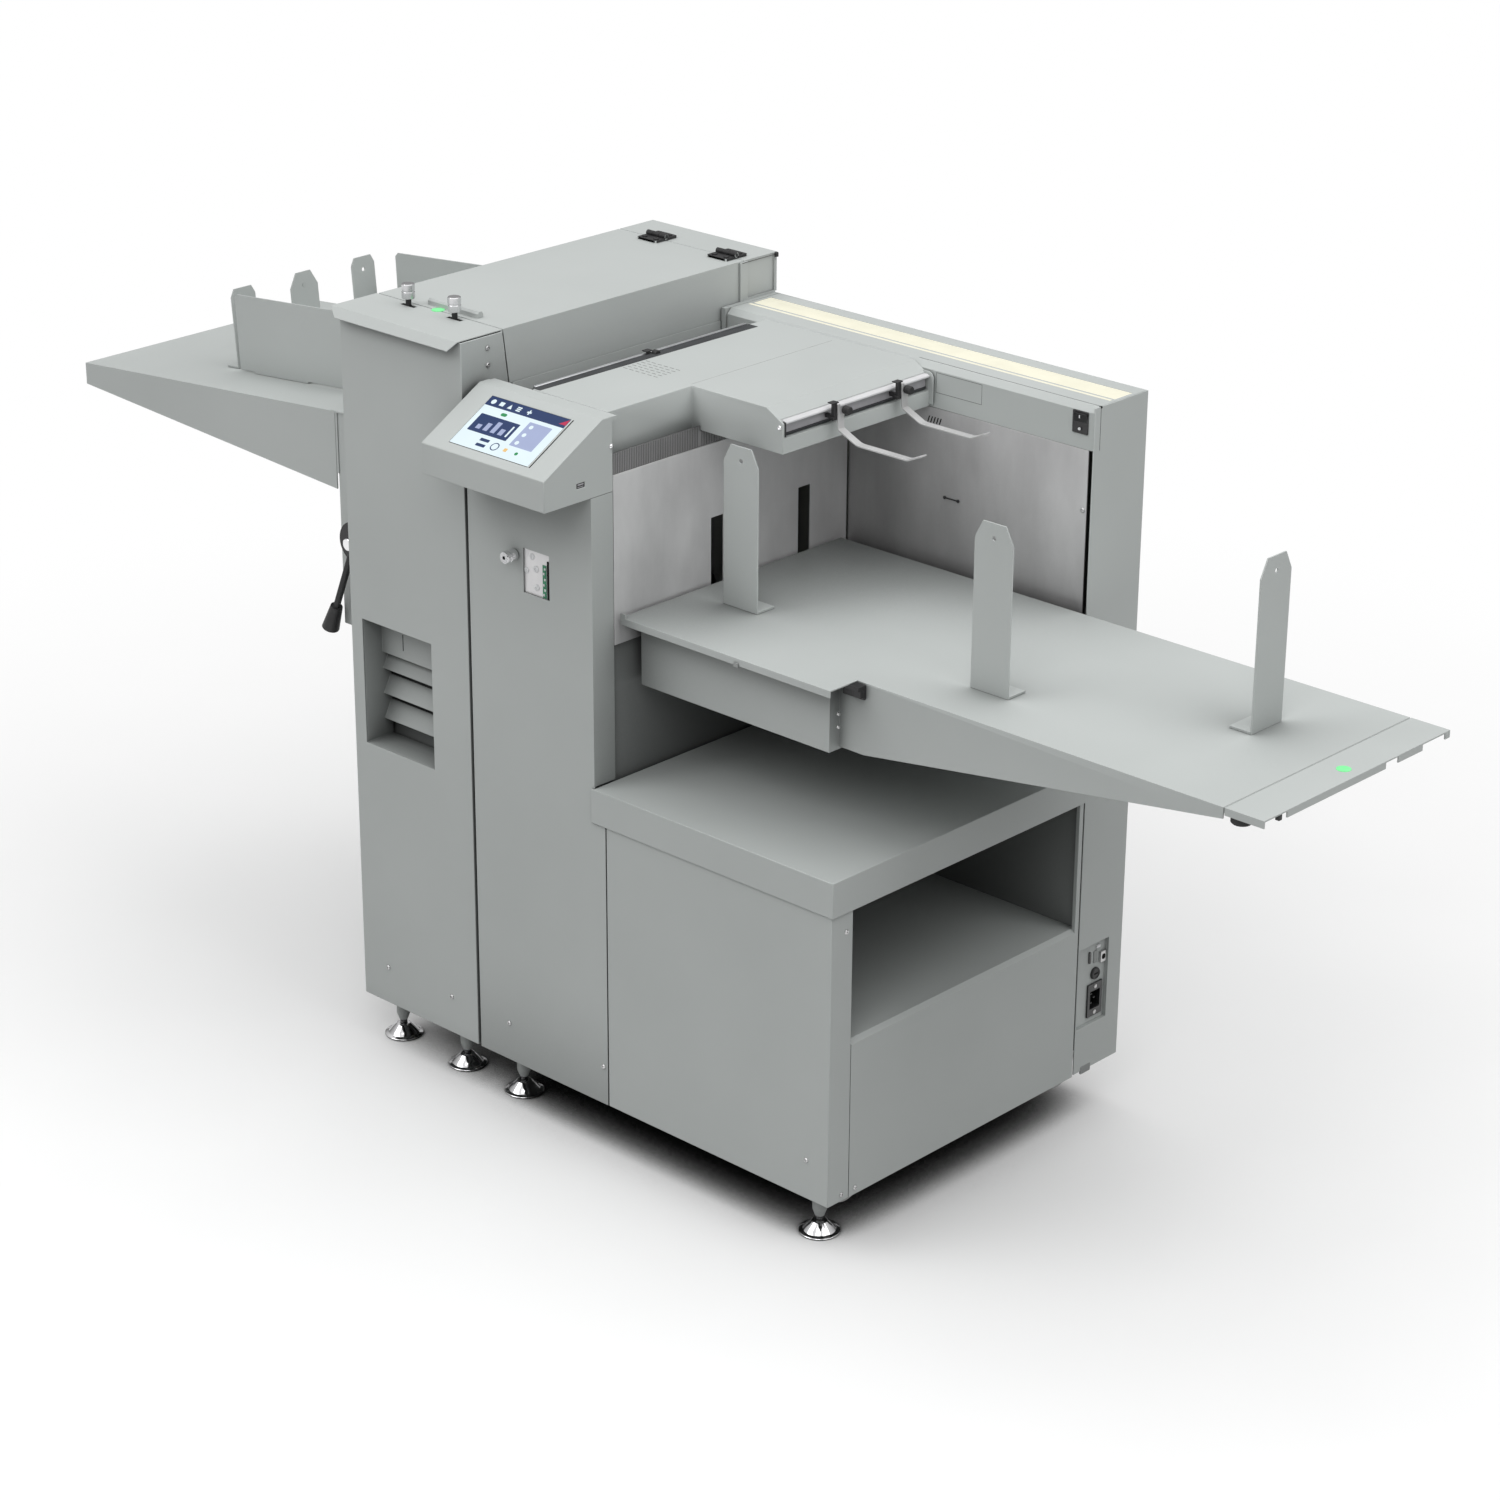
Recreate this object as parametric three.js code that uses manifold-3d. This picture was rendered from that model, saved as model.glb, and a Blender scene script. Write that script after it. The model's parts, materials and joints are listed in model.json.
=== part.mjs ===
// Floor-standing paper folding and creasing machine with a lift-table feeder.
// Millimetres, +Z up. Sheets travel from the feeder (+X) to the delivery tray (-X); the operator
// stands at -Y. Pieces are laid out from the base's right face (x), the cover fronts (y) and the
// covers' lower edges (z); one group then moves the origin to the middle of the footprint.
import * as THREE from "three";
import { mergeVertices } from "three/addons/utils/BufferGeometryUtils.js";
import Module from "manifold-3d";

const wasm = await Module();
wasm.setup();

// Driving sizes: sheet metal, clearances and cuts
const sheet = 2;
const seat = 0.3;
const cutOver = 3;
const runClearance = 0.5;

// Driving sizes: widths along X, from the base's right face leftwards
const baseWidth = 409;
const splitGap = 2;
const infillStep = 20;
const infillWidth = 238;
const grooveWidth = 6;
const towerWidth = 244;
const hoodOverhangLeft = 9;
const hoodOverhangRight = 3;

// Driving sizes: depths along Y, from the cover fronts backwards
const bodyDepth = 613;
const housingDepth = 100;
const housingGap = 3;
const housingUpperStep = 12;
const fasciaStep = 10;
const rearPlateInset = 53;

// Driving sizes: heights along Z, from the covers' lower edges
const footHeight = 74;
const deckHeight = 66;
const compartmentFloor = 233;
const fasciaHeight = 50;
const pathHeight = 915;
const shelfDrop = 441;
const tableDrop = 207;
const infillDrop = 30;
const deckDrop = 8;
const headRise = 14;
const consoleRise = 73;
const towerRise = 131;

// Planes worked out from the driving sizes
const cabinetLeft = -baseWidth;
const infillLowRight = cabinetLeft - splitGap;
const infillRight = infillLowRight - infillStep;
const infillLeft = infillRight - infillWidth;
const towerRight = infillLeft - grooveWidth;
const towerLeft = towerRight - towerWidth;
const hoodLeft = towerLeft - hoodOverhangLeft;
const hoodRight = towerRight - hoodOverhangRight;
const towerMiddle = (towerLeft + towerRight) / 2;
const housingLeft = infillLeft + splitGap / 2;
const cabinetDepth = bodyDepth - housingDepth;
const housingLowerFront = cabinetDepth + housingGap;
const housingUpperFront = cabinetDepth - housingUpperStep;
const fasciaFront = cabinetDepth - fasciaStep;
const shelfTop = pathHeight - shelfDrop;
const fasciaBottom = shelfTop - fasciaHeight;
const tableTop = pathHeight - tableDrop;
const infillTop = pathHeight - infillDrop;
const deckTop = pathHeight - deckDrop;
const headBottom = pathHeight + headRise;
const consoleTop = pathHeight + consoleRise;
const towerTop = pathHeight + towerRise;

// Paint and metal colours, taken from the photograph by eye
const paint = new THREE.Color(0.62, 0.64, 0.63);
const steel = new THREE.Color(0.6, 0.59, 0.58);
const chrome = new THREE.Color(0.8, 0.8, 0.81);
const alloy = new THREE.Color(0.72, 0.73, 0.75);
const black = new THREE.Color(0.03, 0.03, 0.03);
const rubber = new THREE.Color(0.2, 0.2, 0.2);
const screenBlue = new THREE.Color(0.1, 0.16, 0.34);
const warmWhite = new THREE.Color(0.98, 0.97, 0.88);

// Solid helpers: closed three.js geometry in, joined or cut solid out

function solid(geometry) {
  const bare = geometry.index ? geometry.toNonIndexed() : geometry.clone();
  bare.deleteAttribute("normal");
  bare.deleteAttribute("uv");
  const merged = mergeVertices(bare, 1e-4);
  const made = new wasm.Manifold(
    new wasm.Mesh({
      numProp: 3,
      vertProperties: merged.attributes.position.array,
      triVerts: new Uint32Array(merged.index.array),
    }),
  );
  return made;
}

function join(solids) {
  return solids.reduce((whole, next) => whole.add(next));
}

function cut(body, tools) {
  return tools.reduce((whole, tool) => whole.subtract(tool), body);
}

function block(x0, x1, y0, y1, z0, z1) {
  const geometry = new THREE.BoxGeometry(x1 - x0, y1 - y0, z1 - z0);
  geometry.translate((x0 + x1) / 2, (y0 + y1) / 2, (z0 + z1) / 2);
  return solid(geometry);
}

function outline(points) {
  return new THREE.Shape(points.map(([u, v]) => new THREE.Vector2(u, v)));
}

function extruded(shape, depth) {
  const settings = { depth, bevelEnabled: false, curveSegments: 8 };
  return new THREE.ExtrudeGeometry(shape, settings);
}

// A profile in x and z, drawn out along y
function prismAlongY(points, y0, y1) {
  const geometry = extruded(outline(points), y1 - y0);
  geometry.rotateX(Math.PI / 2);
  geometry.translate(0, y1, 0);
  return solid(geometry);
}

// A profile in y and z, drawn out along x
function prismAlongX(points, x0, x1) {
  const geometry = extruded(outline(points), x1 - x0);
  geometry.rotateY(Math.PI / 2);
  geometry.rotateX(Math.PI / 2);
  geometry.translate(x0, 0, 0);
  return solid(geometry);
}

function rod(radius, length, sides = 24) {
  return new THREE.CylinderGeometry(radius, radius, length, sides);
}

function rodAlongX(x0, x1, y, z, radius, sides) {
  const geometry = rod(radius, x1 - x0, sides);
  geometry.rotateZ(Math.PI / 2);
  geometry.translate((x0 + x1) / 2, y, z);
  return solid(geometry);
}

function rodAlongY(x, y0, y1, z, radius, sides) {
  const geometry = rod(radius, y1 - y0, sides);
  geometry.translate(x, (y0 + y1) / 2, z);
  return solid(geometry);
}

function rodAlongZ(x, y, z0, z1, radius, sides) {
  const geometry = rod(radius, z1 - z0, sides);
  geometry.rotateX(Math.PI / 2);
  geometry.translate(x, y, (z0 + z1) / 2);
  return solid(geometry);
}

// A turned profile of radius and height pairs, standing on its axis at x and y
function turned(points, x, y, sides = 32) {
  const profile = points.map(([radius, height]) => new THREE.Vector2(radius, height));
  const geometry = new THREE.LatheGeometry(profile, sides);
  geometry.rotateX(Math.PI / 2);
  geometry.translate(x, y, 0);
  return solid(geometry);
}

function geometryOf(made) {
  const mesh = made.getMesh();
  const places = new Float32Array(mesh.numVert * 3);
  for (let i = 0; i < mesh.numVert; i++) {
    places.set(mesh.vertProperties.subarray(i * mesh.numProp, i * mesh.numProp + 3), i * 3);
  }
  const geometry = new THREE.BufferGeometry();
  geometry.setAttribute("position", new THREE.BufferAttribute(places, 3));
  geometry.setIndex(new THREE.BufferAttribute(mesh.triVerts, 1));
  geometry.computeVertexNormals();
  return geometry;
}

const machine = new THREE.Group();

function piece(name, made, color, roughness, metalness, parent = machine) {
  const material = new THREE.MeshStandardMaterial({ color, roughness, metalness });
  const mesh = new THREE.Mesh(geometryOf(made), material);
  mesh.name = name;
  parent.add(mesh);
  return mesh;
}

function painted(name, made, parent) {
  return piece(name, made, paint, 0.5, 0, parent);
}

// Base frame: rails on the feet, deck, castor forks, posts and the compartment's walls
const railSize = 30;
const railBottom = 4;
const railTop = railBottom + railSize;
const deckThickness = 4;
const frameInset = 6;
const inletNotch = 18;
const rearStandoffLow = 120;
const standoffDrop = 15;
const tieShare = 0.49;
const plateInset = 14;
const leftRailInset = 14;
const rightRailInset = 45;
const frontRailY = 22;
const wallInset = 10;
const linerY = 38;
const ceilingDrop = 3;
const layPlateDrop = 39;
const wallLap = 21;
const plateLeft = towerLeft + plateInset;
const plateRight = towerRight - plateInset;
const leftRailX = infillLeft + leftRailInset;
const rightRailX = -rightRailInset - railSize;
const rearRailY = bodyDepth - rearPlateInset;
const wallX = infillRight - wallInset;
const ceilingZ = fasciaBottom - ceilingDrop;
const layPlateBottom = tableTop - layPlateDrop;
const wallTop = layPlateBottom + wallLap;
const tieY = bodyDepth * tieShare;
const rearStandoffs = [rearStandoffLow, pathHeight - standoffDrop];

const castorInset = 20;
const castorY = 48;
const castorRearInset = 22;
const castorRadius = 37.5;
const castorHeadroom = 3.5;
const castorWidth = 22;
const axleRadius = 4;
const axleClearance = 0.5;
const forkGap = 2;
const forkThickness = 2.5;
const forkDepth = 20;
const forkDrop = 10;
const castorX = -castorInset;
const castorRearY = cabinetDepth - castorRearInset;
const castorZ = deckHeight - castorHeadroom - castorRadius;

const armFrontShare = 0.464;
const armRearShare = 0.803;
const armY = [armFrontShare, armRearShare].map((share) => cabinetDepth * share);
const armWidth = 20;
const armSlotClearance = 2;
const liftUp = 195;
const liftDown = 35;
const boxHeight = 103.5;
const armHeight = 36;
const railInset = 49;
const railRadius = 10;
const railPlateThickness = 6;
const liftBracketDrop = 10;
const liftBracketReach = 79;
const liftBracketEnd = 26;
const boxBottom = tableTop - boxHeight;
const armBottom = boxBottom - armHeight;
const slotBottom = armBottom - liftDown - armSlotClearance;
const slotTop = boxBottom + liftUp + armSlotClearance;
const railX = infillRight - railInset;
const liftBracketTop = slotBottom - liftBracketDrop;

function castorFork(y) {
  const half = castorWidth / 2 + forkGap;
  const legs = [
    block(castorX - half - forkThickness, castorX - half, y - forkDepth / 2, y + forkDepth / 2,
      castorZ - forkDrop, deckHeight + deckThickness),
    block(castorX + half, castorX + half + forkThickness, y - forkDepth / 2, y + forkDepth / 2,
      castorZ - forkDrop, deckHeight + deckThickness),
  ];
  const axleHole = rodAlongX(castorX - castorWidth - cutOver, castorX + castorWidth, y, castorZ,
    axleRadius + axleClearance);
  return cut(join(legs), [axleHole]);
}

function armSlots(x0, x1, z0, z1) {
  return armY.map((y) => {
    const half = armWidth / 2 + armSlotClearance;
    return block(x0 - cutOver, x1 + cutOver, y - half, y + half, z0, z1);
  });
}

function baseFrame() {
  const deckTopZ = deckHeight + deckThickness;
  const rearEnd = rearRailY + railSize;
  const rails = [
    block(leftRailX, rightRailX + railSize, frontRailY, frontRailY + railSize, railBottom, railTop),
    block(leftRailX, rightRailX + railSize, rearRailY, rearEnd, railBottom, railTop),
    block(leftRailX, leftRailX + railSize, frontRailY, rearEnd, railBottom, railTop),
    block(rightRailX, rightRailX + railSize, frontRailY, rearEnd, railBottom, railTop),
  ];
  const stubs = [leftRailX, rightRailX].flatMap((x) => [frontRailY, rearRailY].map((y) =>
    block(x, x + railSize, y, y + railSize, railTop, deckHeight)));
  const deck = cut(
    block(leftRailX, -frameInset, frontRailY, rearEnd, deckHeight, deckTopZ),
    [block(-inletNotch, 0, cabinetDepth, rearEnd + cutOver, deckHeight - cutOver,
      deckTopZ + cutOver)]);
  const frontLeftPost = block(leftRailX, leftRailX + railSize, sheet + seat, frontRailY + frameInset,
    deckHeight, infillTop - seat);
  const frontRightPost = block(-linerY, -frameInset, sheet + seat, linerY, deckHeight,
    shelfTop - sheet - seat);
  const rearPosts = [leftRailX, rightRailX].map((x) =>
    block(x, x + railSize, rearRailY, rearEnd, deckHeight, consoleTop - frameInset));
  const wall = cut(
    block(wallX, wallX + sheet, frontRailY, cabinetDepth - sheet, deckHeight, wallTop),
    armSlots(wallX, wallX + sheet, slotBottom, wallTop + cutOver));
  const rearWall = block(wallX, -frameInset, cabinetDepth - sheet, cabinetDepth, deckHeight,
    fasciaBottom - seat);
  const liner = block(wallX, -frameInset, linerY, linerY + sheet, deckHeight, fasciaBottom - seat);
  const ceiling = block(wallX, -frameInset, linerY, cabinetDepth, ceilingZ, fasciaBottom - seat);
  const standoffs = [leftRailX, rightRailX].flatMap((x) => rearStandoffs.map((z) =>
    block(x, x + railSize, rearEnd, bodyDepth - sheet - seat, z, z + railSize)));
  const ties = [
    block(plateRight + seat, leftRailX, rearRailY, rearEnd, railBottom, railTop),
    block(plateRight + seat, leftRailX + frameInset, tieY, tieY + railSize, deckHeight - frameInset,
      deckTopZ + frameInset),
  ];
  const bracket = block(wallX - liftBracketReach, wallX, armY[0] - liftBracketEnd,
    armY[1] + liftBracketEnd, liftBracketTop - railPlateThickness, liftBracketTop);
  return join([...rails, ...stubs, deck, frontLeftPost, frontRightPost, ...rearPosts, wall,
    rearWall, liner, ceiling, ...standoffs, ...ties, bracket, castorFork(castorY), castorFork(castorRearY)]);
}

painted("base_frame", baseFrame());

// Levelling feet
const footRadius = 28.5;
const footRim = 3;
const footConeRadius = 23;
const footConeHeight = 15;
const footConeTopRadius = 10;
const footNeckRadius = 5.5;
const footNeckHeight = 7;
const footSleeveRadius = 10;
const footSleeveTaper = 10;
const footY = 45;
const footRearInset = 30;
const footTowerLeftInset = 31;
const footTowerRightInset = 74;
const footBaseLeftInset = 40;
const footBaseRightInset = 54;
const footRearRightInset = 190;

function foot(x, y) {
  const rimTop = -footHeight + footRim;
  const coneTop = rimTop + footConeHeight;
  const neckTop = coneTop + footNeckHeight;
  return turned([
    [0, -footHeight],
    [footRadius, -footHeight],
    [footRadius, rimTop],
    [footConeRadius, rimTop],
    [footConeTopRadius, coneTop],
    [footNeckRadius, coneTop],
    [footNeckRadius, neckTop],
    [footSleeveRadius, neckTop + footSleeveTaper],
    [footSleeveRadius, railBottom - seat],
    [0, railBottom - seat],
  ], x, y);
}

const footRearY = bodyDepth - footRearInset;
const feet = [
  ["foot_tower_left", towerLeft + footTowerLeftInset, footY],
  ["foot_tower_right", towerRight - footTowerRightInset, footY],
  ["foot_base_left", infillLeft + footBaseLeftInset, footY],
  ["foot_base_right", -footBaseRightInset, footY],
  ["foot_rear_left", towerLeft + footTowerLeftInset, footRearY],
  ["foot_rear_right", -footRearRightInset, footRearY - frameInset],
];
for (const [name, x, y] of feet) {
  piece(name, foot(x, y), chrome, 0.2, 1);
}

// Castor wheels with their axles
const tyreChamfer = 3;

function castorWheel(y) {
  const half = castorWidth / 2;
  const inner = castorRadius - tyreChamfer;
  const profile = [
    [0, -half],
    [inner, -half],
    [castorRadius, -half + tyreChamfer],
    [castorRadius, half - tyreChamfer],
    [inner, half],
    [0, half],
  ].map(([radius, height]) => new THREE.Vector2(radius, height));
  const geometry = new THREE.LatheGeometry(profile, 32);
  geometry.rotateZ(-Math.PI / 2);
  geometry.translate(castorX, y, castorZ);
  const reach = half + forkGap + forkThickness + runClearance;
  const axle = rodAlongX(castorX - reach, castorX + reach, y, castorZ, axleRadius);
  return join([solid(geometry), axle]);
}

piece("castor_wheel_front", castorWheel(castorY), rubber, 0.6, 0);
piece("castor_wheel_rear", castorWheel(castorRearY), rubber, 0.6, 0);

// Cabinet covers: front with its corner return, side bent into the compartment's floor
const cornerReturn = 41;
const cornerSeam = 1;
const floorBend = 6;
const rearEdgeStrip = 8;
const coverBehindFascia = 12;

function cabinetFrontCover() {
  const top = fasciaBottom + coverBehindFascia;
  const front = block(cabinetLeft, 0, 0, sheet, 0, top);
  const corner = block(-sheet, 0, 0, cornerReturn, 0, fasciaBottom - seat);
  return join([front, corner]);
}

function cabinetSideCover() {
  const start = cornerReturn + cornerSeam;
  const floorLeft = wallX + sheet + seat;
  const bent = prismAlongY([
    [0, 0],
    [0, compartmentFloor - floorBend],
    [-floorBend, compartmentFloor],
    [floorLeft, compartmentFloor],
    [floorLeft, compartmentFloor - sheet],
    [-floorBend - sheet / 2, compartmentFloor - sheet],
    [-sheet, compartmentFloor - floorBend - sheet / 2],
    [-sheet, 0],
  ], start, cabinetDepth - sheet - seat);
  const strip = block(-frameInset + seat, 0, cabinetDepth - rearEdgeStrip, cabinetDepth,
    0, fasciaBottom - seat);
  return join([bent, strip]);
}

painted("cabinet_front_cover", cabinetFrontCover());
painted("cabinet_side_cover", cabinetSideCover());

// Shelf cover over the cabinet, with its deep fascia
const shelfOverhangFront = 3;
const shelfOverhangRight = 4;
const shelfLap = 4;
const shelfLeft = infillRight - shelfLap;

function shelfCover() {
  const top = block(infillRight + seat, shelfOverhangRight, -shelfOverhangFront, cabinetDepth,
    shelfTop - sheet, shelfTop);
  const front = block(shelfLeft, shelfOverhangRight, -shelfOverhangFront,
    -shelfOverhangFront + sheet, fasciaBottom, shelfTop);
  const right = block(shelfOverhangRight - sheet, shelfOverhangRight, -shelfOverhangFront,
    cabinetDepth, fasciaBottom, shelfTop);
  return join([top, front, right]);
}

painted("shelf_cover", shelfCover());

// Tower frame: two side plates, ties, foot rails, bearings for the rollers and guides for the beam
const platePlane = 58;
const plateThickness = 6;
const plateDrop = 26;
const tabWidth = 20;
const tieSize = 20;
const tieLow = 60;
const tieHighDrop = 66;
const towerRailFront = 20;
const towerRailRearInset = 8;
const standoffSize = 20;
const standoffLow = 100;
const rearPlate = bodyDepth - rearPlateInset;
const plateTop = towerTop - plateDrop;
const tieHigh = towerTop - tieHighDrop;
const towerRailRear = bodyDepth - towerRailRearInset;
const standoffHigh = pathHeight - standoffDrop;

const rollerInset = 50;
const rollerRadius = 20;
const nipGap = 0.3;
const journalRadius = 8;
const journalClearance = 0.5;
const beamInset = 115;
const beamWidth = 20;
const beamLift = 7;
const beamHeight = 38;
const beamTravel = 4;
const bladeWidth = 2;
const bladeDepth = 4;
const anvilWidth = 30;
const anvilHeight = 45;
const anvilDrop = 3;
const anvilGroove = 4;
const drumRadius = 20;

const rollerX = towerRight - rollerInset;
const beamX = towerRight - beamInset;
const lowerRollerZ = pathHeight - rollerRadius - nipGap;
const upperRollerZ = pathHeight + rollerRadius + nipGap;

function towerFrame() {
  const rearPlateBack = rearPlate + plateThickness;
  const plates = [platePlane, rearPlate].map((y) =>
    block(plateLeft, plateRight, y, y + plateThickness, railBottom, plateTop));
  const tabs = [platePlane, rearPlate].flatMap((y) => [plateLeft, plateRight - tabWidth].map((x) =>
    block(x, x + tabWidth, y, y + plateThickness, plateTop, towerTop - sheet - seat)));
  const ties = [plateLeft, plateRight - tieSize].flatMap((x) => [tieLow, tieHigh].map((z) =>
    block(x, x + tieSize, platePlane, rearPlateBack, z, z + tieSize)));
  const footRails = [
    block(plateLeft, plateRight, towerRailFront, platePlane + plateThickness, railBottom, railTop),
    block(plateLeft, plateRight, rearPlate, towerRailRear, railBottom, railTop),
  ];
  const standoffs = [plateLeft, plateRight - standoffSize].flatMap((x) =>
    [standoffLow, standoffHigh].map((z) =>
      block(x, x + standoffSize, sheet + seat, platePlane, z, z + standoffSize)));
  const anvilTop = pathHeight - anvilDrop;
  const anvil = prismAlongY([
    [beamX - anvilWidth / 2, anvilTop - anvilHeight],
    [beamX + anvilWidth / 2, anvilTop - anvilHeight],
    [beamX + anvilWidth / 2, anvilTop],
    [beamX + anvilGroove, anvilTop],
    [beamX, anvilTop - anvilGroove],
    [beamX - anvilGroove, anvilTop],
    [beamX - anvilWidth / 2, anvilTop],
  ], platePlane, rearPlateBack);
  const frame = join([...plates, ...tabs, ...ties, ...footRails, ...standoffs, anvil]);
  const boreRadius = journalRadius + journalClearance;
  const bores = [lowerRollerZ, upperRollerZ].map((z) =>
    rodAlongY(rollerX, platePlane - cutOver, rearPlateBack + cutOver, z, boreRadius));
  const slotHalf = beamWidth / 2 + runClearance;
  const beamSlot = block(beamX - slotHalf, beamX + slotHalf, platePlane - cutOver,
    rearPlateBack + cutOver, pathHeight - anvilDrop + seat, pathHeight + beamLift + beamHeight + beamTravel);
  return cut(frame, [...bores, beamSlot]);
}

painted("tower_frame", towerFrame());

// Feed rollers and the crease beam
function roller(z) {
  const bodyGap = 6;
  const front = platePlane + plateThickness + bodyGap;
  const back = rearPlate - bodyGap;
  const body = rodAlongY(rollerX, front, back, z, rollerRadius, 32);
  const shaft = rodAlongY(rollerX, platePlane - cutOver, rearPlate + plateThickness + cutOver, z,
    journalRadius);
  return join([body, shaft]);
}

piece("feed_roller_lower", roller(lowerRollerZ), rubber, 0.7, 0);
piece("feed_roller_upper", roller(upperRollerZ), rubber, 0.7, 0);

function creaseBeam() {
  const bottom = pathHeight + beamLift;
  const endReach = 2;
  const bladeInset = 11;
  const body = block(beamX - beamWidth / 2, beamX + beamWidth / 2, platePlane - endReach,
    rearPlate + plateThickness + endReach, bottom, bottom + beamHeight);
  const blade = block(beamX - bladeWidth / 2, beamX + bladeWidth / 2,
    platePlane + plateThickness + bladeInset, rearPlate - bladeInset, bottom - bladeDepth, bottom);
  return join([body, blade]);
}

piece("crease_beam", creaseBeam(), steel, 0.35, 1);

// Drive motor on the inside of the rear plate
const motorX = towerMiddle;
const motorZ = 500;
const motorRadius = 45;
const motorLength = 120;
const motorFlange = 52;
const motorFlangeThickness = 8;
const motorShaftRadius = 7;
const motorShaftLength = 25;

function driveMotor() {
  const back = rearPlate - seat;
  const flange = block(motorX - motorFlange, motorX + motorFlange, back - motorFlangeThickness,
    back, motorZ - motorFlange, motorZ + motorFlange);
  const body = rodAlongY(motorX, back - motorLength, back - motorFlangeThickness, motorZ, motorRadius);
  const shaft = rodAlongY(motorX, back - motorLength - motorShaftLength, back - motorLength, motorZ,
    motorShaftRadius);
  return join([flange, body, shaft]);
}

piece("drive_motor", driveMotor(), black, 0.5, 0.3);

// Tower front cover with its slanted side returns and the louvre opening
const returnTopDepth = 76;
const returnLowDepth = 86;
const hoodSideDepth = 78;
const louvreInset = 23;
const louvreWidth = 144;
const louvreBottom = 406;
const louvreHeight = 189;
const hoodSideBottom = towerTop - hoodSideDepth;
const louvreLeft = towerLeft + louvreInset;
const louvreRight = louvreLeft + louvreWidth;
const louvreTop = louvreBottom + louvreHeight;

function towerFrontCover() {
  const top = towerTop - sheet - seat;
  const front = block(towerLeft, towerRight, 0, sheet, 0, top);
  const side = [
    [0, 0],
    [returnLowDepth, 0],
    [returnLowDepth, hoodSideBottom],
    [returnTopDepth, top],
    [0, top],
  ];
  const sides = [
    prismAlongX(side, towerLeft, towerLeft + sheet),
    prismAlongX(side, towerRight - sheet, towerRight),
  ];
  const opening = block(louvreLeft, louvreRight, -cutOver, sheet + cutOver, louvreBottom, louvreTop);
  return cut(join([front, ...sides]), [opening]);
}

painted("tower_front_cover", towerFrontCover());

// Louvre panel: flange behind the cover, deep frame and three slanted blades
const louvreFlange = 10;
const louvreWall = 36;
const louvreDepth = 52;
const bladeLowest = 27;
const bladePitch = 38.5;
const bladeCount = 3;
const bladeRise = 26;
const louvreBackTop = 60;

function louvrePanel() {
  const near = sheet + seat;
  const outer = block(louvreLeft - sheet, louvreRight + sheet, near, louvreDepth,
    louvreBottom - sheet, louvreTop + sheet);
  const inner = block(louvreLeft, louvreRight, near - cutOver, louvreDepth + cutOver,
    louvreBottom, louvreTop);
  const flange = cut(
    block(louvreLeft - louvreFlange, louvreRight + louvreFlange, near, near + sheet,
      louvreBottom - louvreFlange, louvreTop + louvreFlange),
    [inner]);
  const blades = [...Array(bladeCount).keys()].map((index) => {
    const low = louvreBottom + bladeLowest + index * bladePitch;
    return prismAlongX([
      [louvreWall, low],
      [louvreWall + sheet, low],
      [louvreDepth, low + bladeRise - sheet],
      [louvreDepth, low + bladeRise],
      [louvreDepth - sheet, low + bladeRise],
    ], louvreLeft - sheet / 2, louvreRight + sheet / 2);
  });
  const back = block(louvreLeft - sheet / 2, louvreRight + sheet / 2, louvreWall,
    louvreWall + sheet, louvreTop - louvreBackTop, louvreTop + sheet / 2);
  return join([cut(outer, [inner]), flange, ...blades, back]);
}

painted("louvre_panel", louvrePanel());

// Tower rear cover: left side with the delivery opening, back, and the fixed strip at the top
const hingeSeamInset = 63;
const hingeSeamGap = 1;
const stripOverhang = 6;
const exitFront = 100;
const exitBackInset = 93;
const exitBelowPath = 35;
const exitAbovePath = 20;
const coverJoint = 2;
const hingeSeamY = bodyDepth - hingeSeamInset;
const stripBack = bodyDepth + stripOverhang;
const exitBack = bodyDepth - exitBackInset;
const exitBottom = pathHeight - exitBelowPath;
const exitTop = pathHeight + exitAbovePath;

function towerRearCover() {
  const top = towerTop - sheet - seat;
  const leftSide = block(towerLeft, towerLeft + sheet, returnLowDepth + coverJoint, bodyDepth, 0, top);
  const exit = block(towerLeft - cutOver, towerLeft + sheet + cutOver, exitFront, exitBack,
    exitBottom, exitTop);
  const back = block(towerLeft, towerRight, bodyDepth - sheet, bodyDepth, 0, towerTop);
  const stripFront = hingeSeamY + hingeSeamGap;
  const strip = block(hoodLeft, hoodRight, stripFront, stripBack, towerTop - sheet, towerTop);
  const upperSides = [hoodLeft, hoodRight - sheet].map((x) =>
    block(x, x + sheet, stripFront, stripBack, consoleTop + seat, towerTop));
  return join([cut(leftSide, [exit]), back, strip, ...upperSides]);
}

painted("tower_rear_cover", towerRearCover());

// Infill cover between tower and feeder, with the window and the knob's hole
const infillReturn = 40;
const infillLeftReturn = 20;
const infillStepRise = 6;
const windowInset = 131;
const windowWidth = 50;
const windowDrop = 163;
const windowHeight = 63;
const settingKnobInset = 146;
const settingKnobDrop = 113;
const settingShaftRadius = 3;
const infillStepZ = fasciaBottom + infillStepRise;
const windowLeft = infillRight - windowInset;
const windowBottom = infillTop - windowDrop;
const settingKnobX = infillRight - settingKnobInset;
const settingKnobZ = infillTop - settingKnobDrop;

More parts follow.
